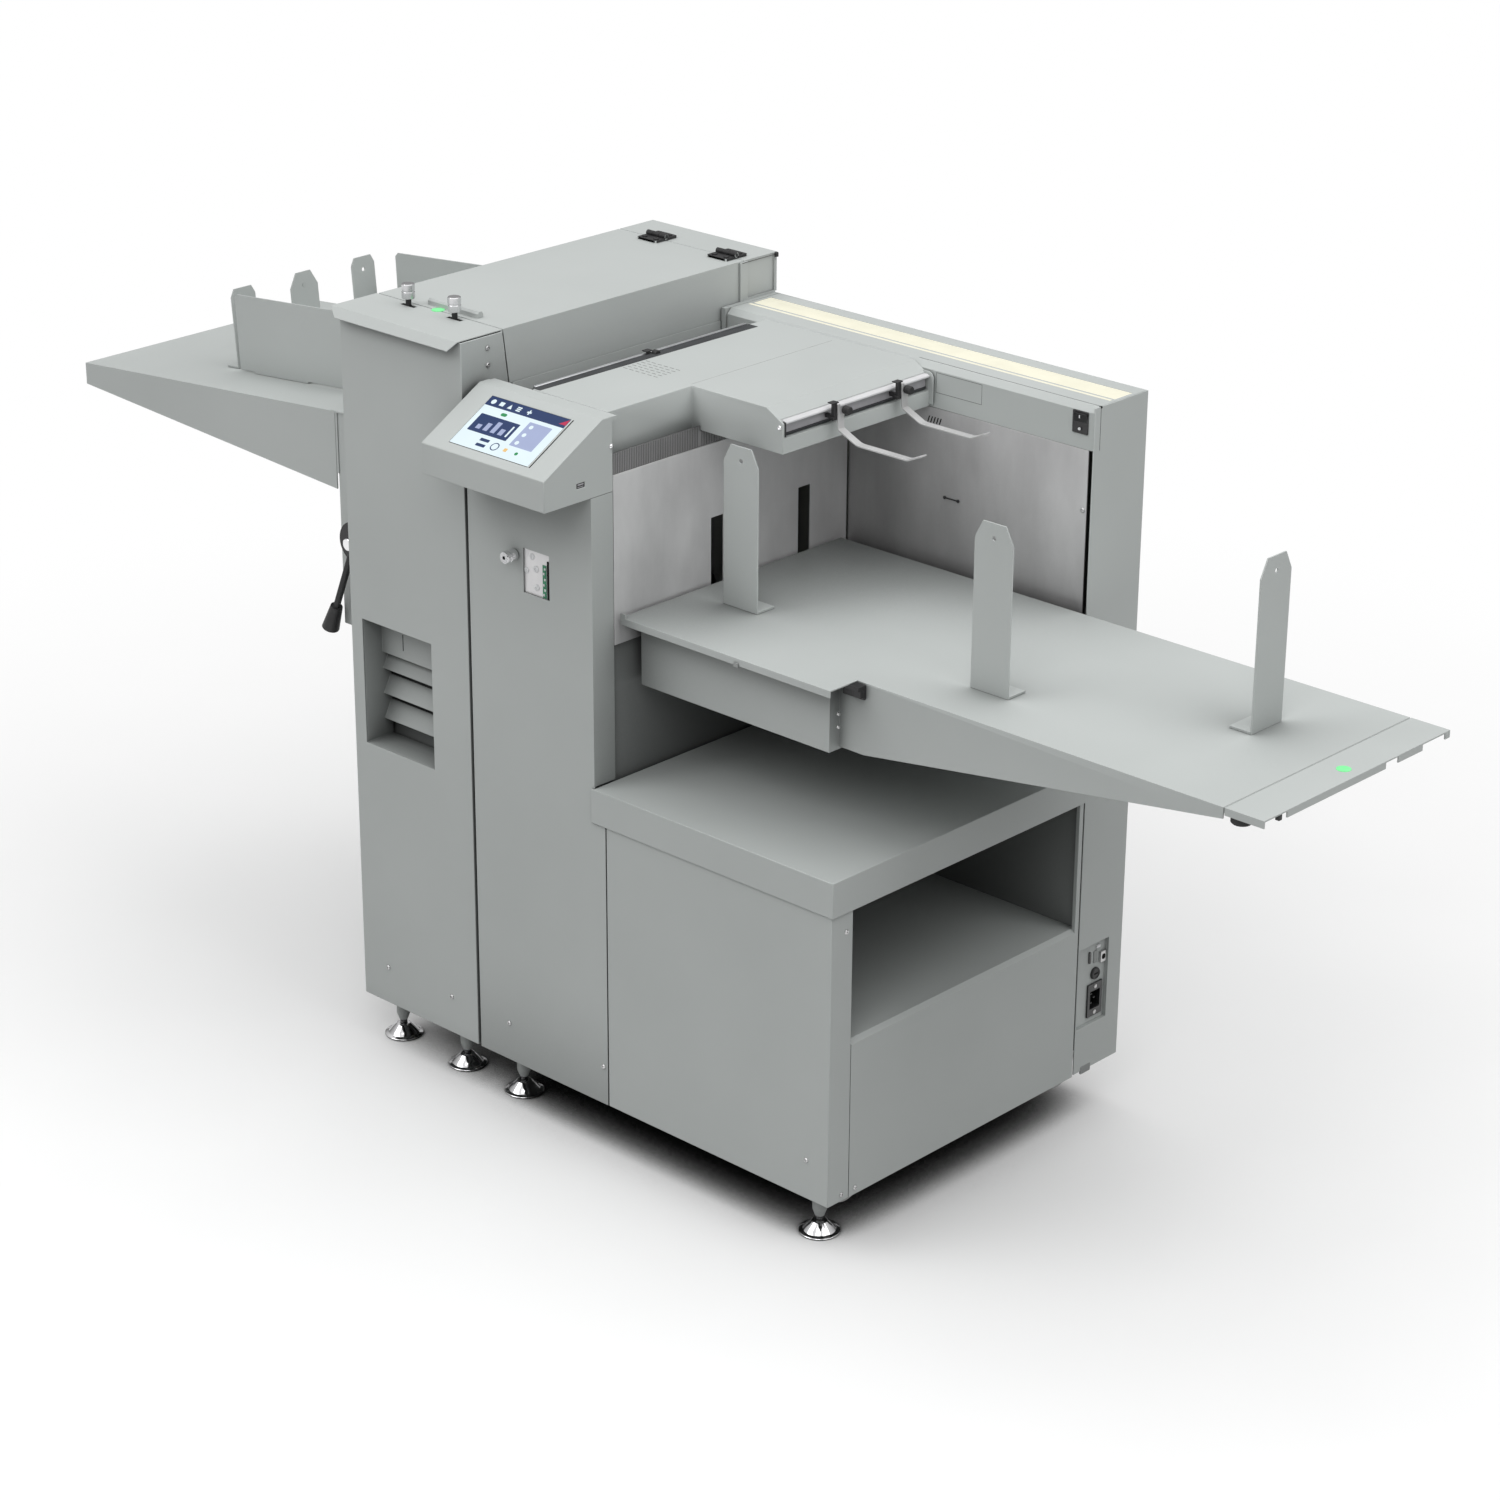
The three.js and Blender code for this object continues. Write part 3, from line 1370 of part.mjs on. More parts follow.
// Tail plate that slides out of the table's end
const tailGap = 2;
const tailLength = 57;
const tailEnd = tableEnd + tailGap + tailLength;
const tailFlange = 10;
const tailTongue = 195;
const tongueInset = 10;
const tailTabShares = [[0.12, 0.644], [0.712, 0.847], [0.974, 1]];

function tailPlate() {
  const start = tableEnd + tailGap;
  const low = tableTop - sheet;
  const top = block(start, tailEnd, tableSideFront, tableBack, low, tableTop);
  const front = block(start, tailEnd, tableSideFront, tableSideFront + sheet,
    tableTop - tailFlange, tableTop);
  const depth = tableBack - tableSideFront;
  const tabs = tailTabShares.map(([fromShare, toShare]) =>
    block(tailEnd - sheet, tailEnd, tableSideFront + depth * fromShare,
      tableSideFront + depth * toShare, tableTop - tailFlange, tableTop));
  const tongueTop = tableTop - sheet - seat;
  const tongue = block(start - tailTongue, start + tongueInset, tableSideFront + tongueInset,
    tableBack - tongueInset, tongueTop - sheet, tongueTop);
  const riser = block(start, start + sheet, tableSideFront + tongueInset, tableBack - tongueInset,
    tongueTop - sheet, tableTop);
  return join([top, front, ...tabs, tongue, riser]);
}

painted("tail_plate", tailPlate());

// Upright paddles on magnetic feet: two along the front of the stack, one at its end
const paddleWidth = 62;
const paddleHeight = 227;
const paddleShoulder = 24;
const paddleTopWidth = 37;
const paddleHoleDrop = 20;
const paddleHoleRadius = 3;
const paddleFoot = 34;
const paddleFootThickness = 3;

// Outline in width and height, standing on zero
function paddleOutline(width, height, shoulder, topWidth) {
  const shape = outline([
    [-width / 2, 0],
    [width / 2, 0],
    [width / 2, height - shoulder],
    [topWidth / 2, height],
    [-topWidth / 2, height],
    [-width / 2, height - shoulder],
  ]);
  return shape;
}

// A paddle facing -Y, its foot behind it, centred on x and standing at zero
function paddle(width, height, shoulder, topWidth, footLength) {
  const shape = paddleOutline(width, height, shoulder, topWidth);
  const hole = new THREE.Path();
  hole.absarc(0, height - paddleHoleDrop, paddleHoleRadius, 0, Math.PI * 2, true);
  shape.holes.push(hole);
  const geometry = extruded(shape, sheet);
  geometry.rotateX(Math.PI / 2);
  geometry.translate(0, sheet, 0);
  const plate = solid(geometry);
  const base = block(-width / 2, width / 2, 0, footLength, 0, paddleFootThickness);
  return join([plate, base]);
}

const feedPaddle = paddle(paddleWidth, paddleHeight, paddleShoulder, paddleTopWidth, paddleFoot);
const paddleSetback = 81;
const paddleLeftInset = 93;
const paddleRightInset = 426;
const paddleEndInset = 107;
const paddleEndShare = 0.6026;
const paddleY = tableSideFront + paddleSetback;
const paddleEndY = tableSideFront + (tableBack - tableSideFront) * paddleEndShare;
const feedPaddles = [
  ["paddle_front_left", tableLeft + paddleLeftInset, paddleY, 0],
  ["paddle_front_right", tableEnd - paddleRightInset, paddleY, 0],
  ["paddle_end", tableEnd - paddleEndInset, paddleEndY, Math.PI / 2],
];
for (const [name, x, y, turn] of feedPaddles) {
  const mesh = painted(name, feedPaddle);
  mesh.rotation.z = turn;
  mesh.position.set(x, y, tableTop + seat);
}

// Delivery tray, sloping down away from the tower, on its bracket
const trayFront = 60;
const trayBackInset = 88;
const trayLength = 664;
const trayEndDrop = 105;
const trayRootDrop = 45.6;
const trayEndDepth = 33;
const trayRootDepth = 123.4;
const bracketReach = 88;
const trayBack = bodyDepth - trayBackInset;
const trayRootX = towerLeft - sheet;
const trayEndX = trayRootX - trayLength;
const trayEndTop = pathHeight - trayEndDrop;
const trayRootTop = pathHeight - trayRootDrop;
const traySideEnd = towerLeft - bracketReach - coverJoint;
const traySlope = Math.atan2(trayRootTop - trayEndTop, trayRootX - trayEndX);

function trayTopAt(x) {
  return trayEndTop + (x - trayEndX) * Math.tan(traySlope);
}

function deliveryTray() {
  const sidePoints = [
    [trayEndX, trayEndTop - trayEndDepth],
    [traySideEnd, trayRootTop - trayRootDepth],
    [traySideEnd, trayTopAt(traySideEnd)],
    [trayEndX, trayEndTop],
  ];
  const sides = [trayFront, trayBack - sheet].map((y) => prismAlongY(sidePoints, y, y + sheet));
  const top = prismAlongY([
    [trayEndX, trayEndTop - sheet],
    [trayRootX, trayRootTop - sheet],
    [trayRootX, trayRootTop],
    [trayEndX, trayEndTop],
  ], trayFront, trayBack);
  const end = block(trayEndX, trayEndX + sheet, trayFront, trayBack, trayEndTop - trayEndDepth,
    trayEndTop);
  return join([top, ...sides, end]);
}

painted("delivery_tray", deliveryTray());

const bracketDrop = 373;
const bracketSideInset = 2.3;
const bracketBackDrop = 8;
const bracketBottom = pathHeight - bracketDrop;

function deliveryBracket() {
  const near = towerLeft - seat;
  const far = towerLeft - bracketReach;
  const side = [
    [far, bracketBottom],
    [near, bracketBottom],
    [near, trayTopAt(near) - sheet - seat],
    [far, trayTopAt(far) - sheet - seat],
  ];
  const sides = [trayFront + bracketSideInset, trayBack - bracketSideInset - sheet].map((y) =>
    prismAlongY(side, y, y + sheet));
  const back = block(near - sheet, near, trayFront + bracketSideInset, trayBack - bracketSideInset,
    bracketBottom, trayTopAt(far) - bracketBackDrop);
  return join([...sides, back]);
}

painted("delivery_bracket", deliveryBracket());

// Side lever on the bracket's front plate
const leverReach = 43;
const leverDrop = 235;
const leverHubRadius = 30;
const leverHubDepth = 16;
const leverArm = 122;
const leverArmRadius = 5;
const leverGrip = 40;
const leverGripInner = 9;
const leverGripOuter = 13;
const leverLean = THREE.MathUtils.degToRad(22.5);
const leverGripClearance = 1;
const leverX = towerLeft - leverReach;
const leverZ = pathHeight - leverDrop;

function sideLever() {
  const back = trayFront + bracketSideInset - seat;
  const front = back - leverHubDepth;
  const hub = rodAlongY(leverX, front, back, leverZ, leverHubRadius, 32);
  const arm = rod(leverArmRadius, leverArm);
  arm.rotateX(Math.PI / 2);
  arm.translate(0, 0, -leverArm / 2);
  const grip = new THREE.CylinderGeometry(leverGripOuter, leverGripInner, leverGrip, 24);
  grip.rotateX(-Math.PI / 2);
  grip.translate(0, 0, -leverArm - leverGrip / 2 + leverArmRadius);
  const bars = [arm, grip].map((geometry) => {
    geometry.rotateY(leverLean);
    geometry.translate(leverX, back - leverGripOuter - leverGripClearance, leverZ);
    return solid(geometry);
  });
  return join([hub, ...bars]);
}

piece("side_lever", sideLever(), black, 0.5, 0);

// Side guides on the tray
const guideSetback = 257;
const guideLength = 266;
const guideHeight = 118;
const guideFloat = 3;
const guideCorner = 6;
const guideFoot = 30;
const guideFootLength = 120;
const guideFootSetback = 40;
const guideFrontInset = 87;
const guideRearInset = 62;
const guideLeft = trayEndX + guideSetback;
const guideFrontY = trayFront + guideFrontInset;
const guideRearY = trayBack - guideRearInset;

function trayGuide(plateY, footFrom, footTo) {
  const right = guideLeft + guideLength;
  const lift = seat / Math.cos(traySlope);
  const plate = prismAlongY([
    [guideLeft + guideCorner, trayTopAt(guideLeft + guideCorner) + guideFloat],
    [right, trayTopAt(right) + guideFloat],
    [right, trayTopAt(right) + guideHeight],
    [guideLeft + guideCorner, trayTopAt(guideLeft) + guideHeight],
    [guideLeft, trayTopAt(guideLeft) + guideHeight - guideCorner],
  ], plateY, plateY + sheet);
  const footStart = guideLeft + guideFootSetback;
  const footStop = footStart + guideFootLength;
  const base = prismAlongY([
    [footStart, trayTopAt(footStart) + lift],
    [footStop, trayTopAt(footStop) + lift],
    [footStop, trayTopAt(footStop) + guideFloat + sheet],
    [footStart, trayTopAt(footStart) + guideFloat + sheet],
  ], footFrom, footTo);
  return join([plate, base]);
}

painted("tray_guide_front", trayGuide(guideFrontY, guideFrontY, guideFrontY + guideFoot));
painted("tray_guide_rear", trayGuide(guideRearY, guideRearY - guideFoot, guideRearY + sheet));

// Stop paddles across the tray, square to its slope
const stopSetback = 249;
const stopWidth = 46;
const middleWidth = 53;
const stopHeight = 119;
const stopShoulder = 12;
const stopTopWidth = 33;
const middleShoulder = 22;
const middleTopWidth = 28;
const stopFoot = 26;
const stopFrontShare = 0.254;
const stopMiddleShare = 0.5055;
const stopRearShare = 0.759;
const stopX = trayEndX + stopSetback;
const stops = [
  ["tray_stop_front", stopFrontShare, stopWidth, stopShoulder, stopTopWidth],
  ["tray_stop_middle", stopMiddleShare, middleWidth, middleShoulder, middleTopWidth],
  ["tray_stop_rear", stopRearShare, stopWidth, stopShoulder, stopTopWidth],
];
for (const [name, share, width, shoulder, topWidth] of stops) {
  const stand = new THREE.Group();
  stand.position.set(stopX, trayFront + (trayBack - trayFront) * share, trayTopAt(stopX));
  stand.rotation.y = -traySlope;
  machine.add(stand);
  const made = paddle(width, stopHeight, shoulder, topWidth, stopFoot);
  const mesh = painted(name, made, stand);
  mesh.rotation.z = Math.PI / 2;
  mesh.position.set(0, 0, seat);
}

// Origin at the middle of the footprint, on the floor
const leftmost = trayEndX;
const rightmost = tailEnd;
const frontmost = controlFront;
const backmost = stripBack;
machine.position.set(-(leftmost + rightmost) / 2, -(frontmost + backmost) / 2, footHeight);

const part = new THREE.Group();
part.add(machine);

export default part;
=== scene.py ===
"""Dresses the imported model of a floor-standing creasing and folding machine.

Sizes are in millimetres, counted from the base's right face (x), the cover fronts (y) and the
covers' lower edges (z), as in the part's source; at() turns them into the frame's metres.
"""
import json
import math

import bmesh
import bpy
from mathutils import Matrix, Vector


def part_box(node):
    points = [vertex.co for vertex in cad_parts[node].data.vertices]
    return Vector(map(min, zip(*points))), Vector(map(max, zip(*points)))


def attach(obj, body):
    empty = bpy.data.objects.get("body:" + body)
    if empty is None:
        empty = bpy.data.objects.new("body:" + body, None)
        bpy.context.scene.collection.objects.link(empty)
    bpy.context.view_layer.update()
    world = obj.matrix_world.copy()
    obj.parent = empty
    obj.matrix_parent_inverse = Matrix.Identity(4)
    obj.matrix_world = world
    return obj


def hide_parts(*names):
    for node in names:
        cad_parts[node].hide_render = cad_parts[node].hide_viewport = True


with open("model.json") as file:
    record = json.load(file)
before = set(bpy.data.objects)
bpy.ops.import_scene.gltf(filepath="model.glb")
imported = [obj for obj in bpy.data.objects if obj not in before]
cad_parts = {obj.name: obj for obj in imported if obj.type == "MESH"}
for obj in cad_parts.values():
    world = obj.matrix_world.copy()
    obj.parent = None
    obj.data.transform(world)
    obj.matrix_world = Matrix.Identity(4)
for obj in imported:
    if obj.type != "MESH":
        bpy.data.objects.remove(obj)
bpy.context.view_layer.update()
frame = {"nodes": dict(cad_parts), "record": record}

COVER_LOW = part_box("tower_front_cover")[0]
ORIGIN = Vector((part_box("cabinet_side_cover")[1].x, COVER_LOW.y, COVER_LOW.z)) * 1000
BODY_OF = {node: body for body, nodes in frame["record"]["behaviour"]["bodies"].items()
           for node in nodes}
BASE = "machine"
ALONG_X, ALONG_Y, ALONG_Z = (1, 0, 0), (0, 1, 0), (0, 0, 1)
FORWARD = (0, -1, 0)


def at(x, y, z):
    return (Vector((x, y, z)) + ORIGIN) / 1000


class Box:
    """A CAD node's bounds in the sizes of this script."""

    def __init__(self, node):
        low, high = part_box(node)
        low, high = low * 1000 - ORIGIN, high * 1000 - ORIGIN
        self.x0, self.y0, self.z0 = low
        self.x1, self.y1, self.z1 = high
        self.x, self.y, self.z = (low + high) / 2


# Materials

class Tree:
    """A node tree with short ways to add nodes. An input is a value or another node's output."""

    def __init__(self, tree):
        self.nodes, self.links = tree.nodes, tree.links

    def fill(self, made, inputs):
        for key, value in inputs.items():
            if isinstance(value, bpy.types.NodeSocket):
                self.links.new(value, made.inputs[key])
            else:
                made.inputs[key].default_value = value

    def add(self, kind, inputs, output, **settings):
        made = self.nodes.new("ShaderNode" + kind)
        for key, value in settings.items():
            setattr(made, key, value)
        self.fill(made, inputs)
        return made.outputs[output]

    def noise(self, scale, detail=2.0, stretch=None):
        source = self.add("TexCoord", {}, "Object")
        if stretch:
            source = self.add("Mapping", {"Vector": source, "Scale": stretch}, "Vector")
        return self.add("TexNoise", {"Vector": source, "Scale": scale, "Detail": detail}, "Fac")

    def ramp(self, source, low, high, start=0.35, end=0.65):
        """Turns noise into tones from low to high, each a colour or one grey."""
        made = self.nodes.new("ShaderNodeValToRGB")
        for element, place, tone in zip(made.color_ramp.elements, (start, end), (low, high)):
            element.position = place
            element.color = (*tone, 1) if isinstance(tone, tuple) else (tone, tone, tone, 1)
        self.fill(made, {"Fac": source})
        return made.outputs["Color"]

    def ranged(self, source, start, end, low=0.0, **settings):
        """Turns a value between start and end into one between low and 1."""
        inputs = {"Value": source, "From Min": start, "From Max": end, "To Min": low, "To Max": 1.0}
        return self.add("MapRange", inputs, "Result", **settings)

    def openness(self, reach):
        """The share of open surroundings within reach, in metres."""
        return self.add("AmbientOcclusion", {"Distance": reach}, "AO")

    def mix(self, factor, first, second, **settings):
        inputs = {"Factor": factor, "A": first, "B": second}
        return self.add("Mix", inputs, "Result", data_type="RGBA", **settings)


def principled(name):
    material = bpy.data.materials.new(name)
    material.use_nodes = True
    tree = Tree(material.node_tree)
    return material, tree, tree.nodes["Principled BSDF"]


# Openness at and below which the painted shade in corners is darkest
SHUT_SHARE = 0.1
GRAIN_DEPTH = 0.0003
LINE_DEPTH = 0.0002


def coated(tree, shader, tone, painted_shade, relief, strength, depth, rough, start):
    """Fills a shader: painted shade deepens its tone in corners and under overhangs, and relief moves its
    roughness and surface.
    """
    # Painted shade: the tone is multiplied down where the occlusion node finds the surroundings closed
    if painted_shade:
        reach, darkest, open_share = painted_shade
        share = tree.ranged(tree.openness(reach), SHUT_SHARE, open_share, darkest)
        tone = tree.mix(1.0, tone, share, blend_type="MULTIPLY")
    tree.fill(shader, {
        "Base Color": tone, "Roughness": tree.ramp(relief, *rough, start, 1 - start),
        "Normal": tree.add("Bump", {"Height": relief, "Strength": strength, "Distance": depth}, "Normal")})


def surface(name, low, high, tone_scale, rough, grain_scale=500.0, grain=0.05, metallic=0.0,
            specular=0.5, coat=0.0, painted_shade=None):
    """Two tones clouded together, with a fine grain that moves roughness and relief, and painted shade in
    corners where it is given.
    """
    material, tree, shader = principled(name)
    tree.fill(shader, {"Metallic": metallic, "Specular IOR Level": specular, "Coat Weight": coat})
    tone = tree.ramp(tree.noise(tone_scale, 3.0), low, high)
    coated(tree, shader, tone, painted_shade, tree.noise(grain_scale), grain, GRAIN_DEPTH, rough, 0.2)
    return material


def brushed_zinc(name, low, high, rough, painted_shade=None):
    """Zinc-coated sheet: cloudy spangle under fine rolling lines, with painted shade in corners where it is
    given.
    """
    material, tree, shader = principled(name)
    tree.fill(shader, {"Metallic": 0.55})
    tone = tree.ramp(tree.noise(14.0, 5.0, (1.0, 1.0, 0.45)), low, high, 0.3, 0.7)
    lines = tree.noise(160.0, 3.0, (1.0, 1.0, 0.06))
    coated(tree, shader, tone, painted_shade, lines, 0.08, LINE_DEPTH, rough, 0.25)
    return material


PAINT_TONES = ((0.475, 0.502, 0.492), (0.505, 0.532, 0.522))
# Darker tones of the same paint: on the frames inside, their darkness is painted shade
DARKER_PAINT_TONES = ((0.30, 0.315, 0.31), (0.34, 0.355, 0.35))


def powder_coat(name, painted_shade, tones=PAINT_TONES, rough=(0.42, 0.55)):
    return surface(name, *tones, 3.0, rough, 900.0, 0.06, painted_shade=painted_shade)


# Each coat gets painted shade in corners as (reach, darkest, openness where it ends); the wide, recess and
# darker copies carry deeper painted shade
PAINT = powder_coat("grey_powder_coat", (0.14, 0.5, 0.68))
PAINT_WITH_WIDE_SHADE = powder_coat("grey_powder_coat_wide_painted_shade", (0.25, 0.1, 0.97))
PAINT_WITH_RECESS_SHADE = powder_coat("grey_powder_coat_recess_painted_shade", (0.11, 0.1, 0.95))
DARKER_PAINT = powder_coat("grey_powder_coat_darker_with_painted_shade", (0.45, 0.3, 0.75), DARKER_PAINT_TONES, (0.5, 0.62))
ZINC = brushed_zinc("zinc_sheet", (0.64, 0.635, 0.64), (0.80, 0.795, 0.80), (0.32, 0.5))
# Copies of the zinc with lower tones and painted shade in corners: the guide plate's and the comb's darkness
# under the head is painted shade
ZINC_WITH_PAINTED_SHADE = brushed_zinc(
    "zinc_sheet_painted_shade", (0.58, 0.575, 0.58), (0.74, 0.735, 0.74), (0.32, 0.5), (0.25, 0.3, 0.85))
COMB_ZINC_IN_PAINTED_SHADE = brushed_zinc(
    "zinc_sheet_in_shade", (0.30, 0.298, 0.30), (0.38, 0.377, 0.38), (0.4, 0.55), (0.12, 0.12, 0.9))
STEEL = surface("machined_steel", 0.48, 0.62, 20.0, (0.25, 0.4), 400.0, 0.05, metallic=1.0)
ALLOY = surface(
    "satin_anodised_alloy", (0.66, 0.67, 0.69), (0.76, 0.77, 0.79), 25.0, (0.26, 0.38), metallic=1.0)
CHROME = surface(
    "bright_chrome", (0.80, 0.80, 0.81), (0.86, 0.86, 0.87), 12.0, (0.05, 0.12), 300.0, 0.02, metallic=1.0)
KNOB_METAL = surface("turned_bright_metal", (0.60, 0.60, 0.61), (0.68, 0.68, 0.69), 12.0,
                     (0.16, 0.24), 300.0, 0.02, metallic=1.0)
BLACK = surface(
    "black_moulding", (0.012, 0.012, 0.013), (0.022, 0.022, 0.023), 30.0, (0.38, 0.55), 1200.0, 0.12)
GLOSS_BLACK = surface("gloss_black_moulding", (0.010, 0.010, 0.011), (0.018, 0.018, 0.019), 30.0,
                      (0.16, 0.28), 800.0, 0.04, coat=0.3)
RUBBER = surface("black_rubber", 0.02, 0.035, 40.0, (0.6, 0.75), 700.0, 0.15)
TYRE = surface("pale_grey_tyre", 0.36, 0.44, 40.0, (0.45, 0.6), 700.0, 0.08)
# Near-black for slots, holes and gaps: the shade inside them, painted
GAP = surface("dark_gap", 0.015, 0.022, 40.0, (0.8, 0.9), specular=0.1)
FINE_LINE = surface(
    "shaded_seam", (0.16, 0.165, 0.162), (0.20, 0.205, 0.202), 40.0, (0.7, 0.8), specular=0.2)
SOFT_LINE = surface("faint_seam", (0.29, 0.30, 0.295), (0.33, 0.34, 0.335), 40.0, (0.7, 0.8), specular=0.2)
WHITE_METAL = surface(
    "pale_anodised_alloy", (0.66, 0.66, 0.67), (0.74, 0.74, 0.75), 25.0, (0.4, 0.5), metallic=0.2)
BARE_STRIP = surface("satin_bare_strip", 0.50, 0.60, 25.0, (0.4, 0.5), metallic=0.35)
SHADED_ALLOY = surface(
    "shaded_anodised_alloy", (0.36, 0.355, 0.375), (0.44, 0.435, 0.455), 25.0, (0.4, 0.5), metallic=0.2)
# Near-black: painted shade in the rails' channels, and the console's dark seams
DEEP_GREY = surface(
    "channel_shade_and_seams", (0.045, 0.047, 0.05), (0.06, 0.063, 0.066), 25.0, (0.6, 0.7), specular=0.2)
GREEN = surface("green_label", (0.20, 0.86, 0.32), (0.26, 0.94, 0.38), 60.0, (0.4, 0.5), 900.0, 0.03)
BOARD = surface(
    "green_circuit_board", (0.02, 0.16, 0.08), (0.04, 0.26, 0.13), 300.0, (0.35, 0.5), 900.0, 0.1)
WHITE = surface("white_moulding", (0.74, 0.75, 0.76), (0.82, 0.83, 0.84), 30.0, (0.35, 0.5), 900.0, 0.04)


def glowing(name, color, strength, base, specular, mottle):
    """A lit face: its own light is color, and base is what it shows of other light."""
    material, tree, shader = principled(name)
    tree.fill(shader, {"Roughness": 0.3, "Specular IOR Level": specular, "Emission Strength": strength})
    cloud = tree.noise(40.0)
    for socket, tone in (("Base Color", base), ("Emission Color", color)):
        low = tuple(channel * (1 - mottle) for channel in tone)
        tree.fill(shader, {socket: tree.ramp(cloud, low, tone)})
    return material


def lit_pixels(name, color):
    return glowing(name, color, 1.0, (0.012, 0.012, 0.014), 0.15, 0.03)


LENS = glowing("warm_diffuser", (1.0, 0.97, 0.78), 0.6, (0.34, 0.33, 0.27), 0.4, 0.05)
UI_WHITE = lit_pixels("display_white", (0.82, 0.95, 1.0))
UI_NAVY = lit_pixels("display_navy", (0.02, 0.045, 0.14))
UI_BLUE = lit_pixels("display_pale_blue", (0.40, 0.46, 0.68))
UI_GREEN = lit_pixels("display_green", (0.03, 0.30, 0.10))
UI_AMBER = lit_pixels("display_amber", (0.90, 0.58, 0.22))
UI_RED = lit_pixels("display_red", (0.55, 0.03, 0.09))


# Mesh helpers

BEVEL_SEGMENTS = 2
BEVEL_ANGLE = math.radians(30)
WELD_DISTANCE = 0.00002
FLAT_ANGLE = math.radians(0.6)


def shaped(name, mesh, material, body, bevel=0.0, replaces=(), smooth=35):
    """Turns a mesh into a piece that rides on a CAD body, with softened edges."""
    thing = bpy.data.objects.new(name, mesh)
    bpy.context.collection.objects.link(thing)
    mesh.materials.append(material)
    if bevel:
        modifier = thing.modifiers.new("soft_edges", "BEVEL")
        modifier.width = bevel / 1000
        modifier.segments = BEVEL_SEGMENTS
        modifier.limit_method = "ANGLE"
        modifier.angle_limit = BEVEL_ANGLE
    for polygon in mesh.polygons:
        polygon.use_smooth = True
    mesh.set_sharp_from_angle(angle=math.radians(smooth))
    if replaces:
        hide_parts(*replaces)
    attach(thing, body)


class Maker:
    """Collects the solids of one piece. Places are in millimetres and go through its place function."""

    def __init__(self, place=at):
        self.work = bmesh.new()
        self.place = place

    def vert(self, x, y, z):
        return self.work.verts.new(self.place(x, y, z))

    def tube(self, rings):
        """Skins a row of vertex rings and closes its ends; a ring of one vertex is a point."""
        for lower, upper in zip(rings, rings[1:]):
            count = max(len(lower), len(upper))
            for i in range(count):
                j = (i + 1) % count
                if len(lower) == 1:
                    corners = (lower[0], upper[j], upper[i])
                elif len(upper) == 1:
                    corners = (lower[i], lower[j], upper[0])
                else:
                    corners = (lower[i], lower[j], upper[j], upper[i])
                self.work.faces.new(corners)
        for ring in (rings[0], rings[-1]):
            if len(ring) > 2:
                self.work.faces.new(ring)
        return self

    def block(self, x0, x1, y0, y1, z0, z1):
        return self.prism(((x0, y0), (x1, y0), (x1, y1), (x0, y1)), z0, z1, "xy")

    def prism(self, points, low, high, plane="xz"):
        """A closed outline in the named plane, drawn from low to high along the third axis."""
        order = {"xz": lambda u, v, w: (u, w, v), "yz": lambda u, v, w: (w, u, v),
                 "xy": lambda u, v, w: (u, v, w)}[plane]
        return self.tube([[self.vert(*order(u, v, w)) for u, v in points] for w in (low, high)])

    def lathe(self, profile, centre, axis=ALONG_Z, sides=40, wave=None):
        """profile is pairs of radius and distance along axis from centre."""
        base = self.place(*centre)
        along = self.place(*(Vector(centre) + Vector(axis))) - base
        turn = Vector(ALONG_Z).rotation_difference(along).to_matrix()
        rings = []
        for radius, height in profile:
            count = 1 if radius == 0 else sides
            ring = []
            for i in range(count):
                angle = 2 * math.pi * i / count
                reach = radius * (1 + (wave(i) if wave else 0))
                spot = Vector((reach * math.cos(angle), reach * math.sin(angle), height)) / 1000
                ring.append(self.work.verts.new(base + turn @ spot))
            rings.append(ring)
        return self.tube(rings)

    def strip(self, points, across, width, thickness):
        """A flat bar along points, as wide as width along the across vector."""
        side = Vector(across).normalized() * width / 2
        path = [Vector(point) for point in points]
        rings = []
        for i, spot in enumerate(path):
            before, after = path[max(i - 1, 0)], path[min(i + 1, len(path) - 1)]
            up = side.cross(after - before).normalized() * thickness / 2
            if 0 < i < len(path) - 1:
                bend = (spot - before).angle(after - spot)
                up /= math.cos(bend / 2)
            rings.append([self.vert(*(spot + offset))
                          for offset in (side + up, -side + up, -side - up, side - up)])
        return self.tube(rings)

    def done(self, name, material, body=BASE, **extras):
        bmesh.ops.recalc_face_normals(self.work, faces=self.work.faces[:])
        mesh = bpy.data.meshes.new(name)
        self.work.to_mesh(mesh)
        self.work.free()
        shaped(name, mesh, material, body, **extras)


def rounded(u0, u1, v0, v1, radius, steps=5):
    points = []
    for u, v, start in ((u1 - radius, v1 - radius, 0), (u0 + radius, v1 - radius, 90),
                        (u0 + radius, v0 + radius, 180), (u1 - radius, v0 + radius, 270)):
        for i in range(steps + 1):
            angle = math.radians(start + 90 * i / steps)
            points.append((u + radius * math.cos(angle), v + radius * math.sin(angle)))
    return points


def softened(node, material, width):
    """A copy of a CAD node with rounded edges, which stands for it."""
    work = bmesh.new()
    work.from_mesh(frame["nodes"][node].data)
    bmesh.ops.remove_doubles(work, verts=work.verts[:], dist=WELD_DISTANCE)
    bmesh.ops.dissolve_limit(work, angle_limit=FLAT_ANGLE, verts=work.verts[:], edges=work.edges[:])
    mesh = bpy.data.meshes.new(node + "_formed")
    work.to_mesh(mesh)
    work.free()
    shaped(node + "_formed", mesh, material, BODY_OF[node], bevel=width, replaces=(node,))


def cad_material(node, material):
    thing = frame["nodes"][node]
    thing.data.materials.clear()
    thing.data.materials.append(material)


# Sheet-metal covers and frames, with the widths of their softened edges

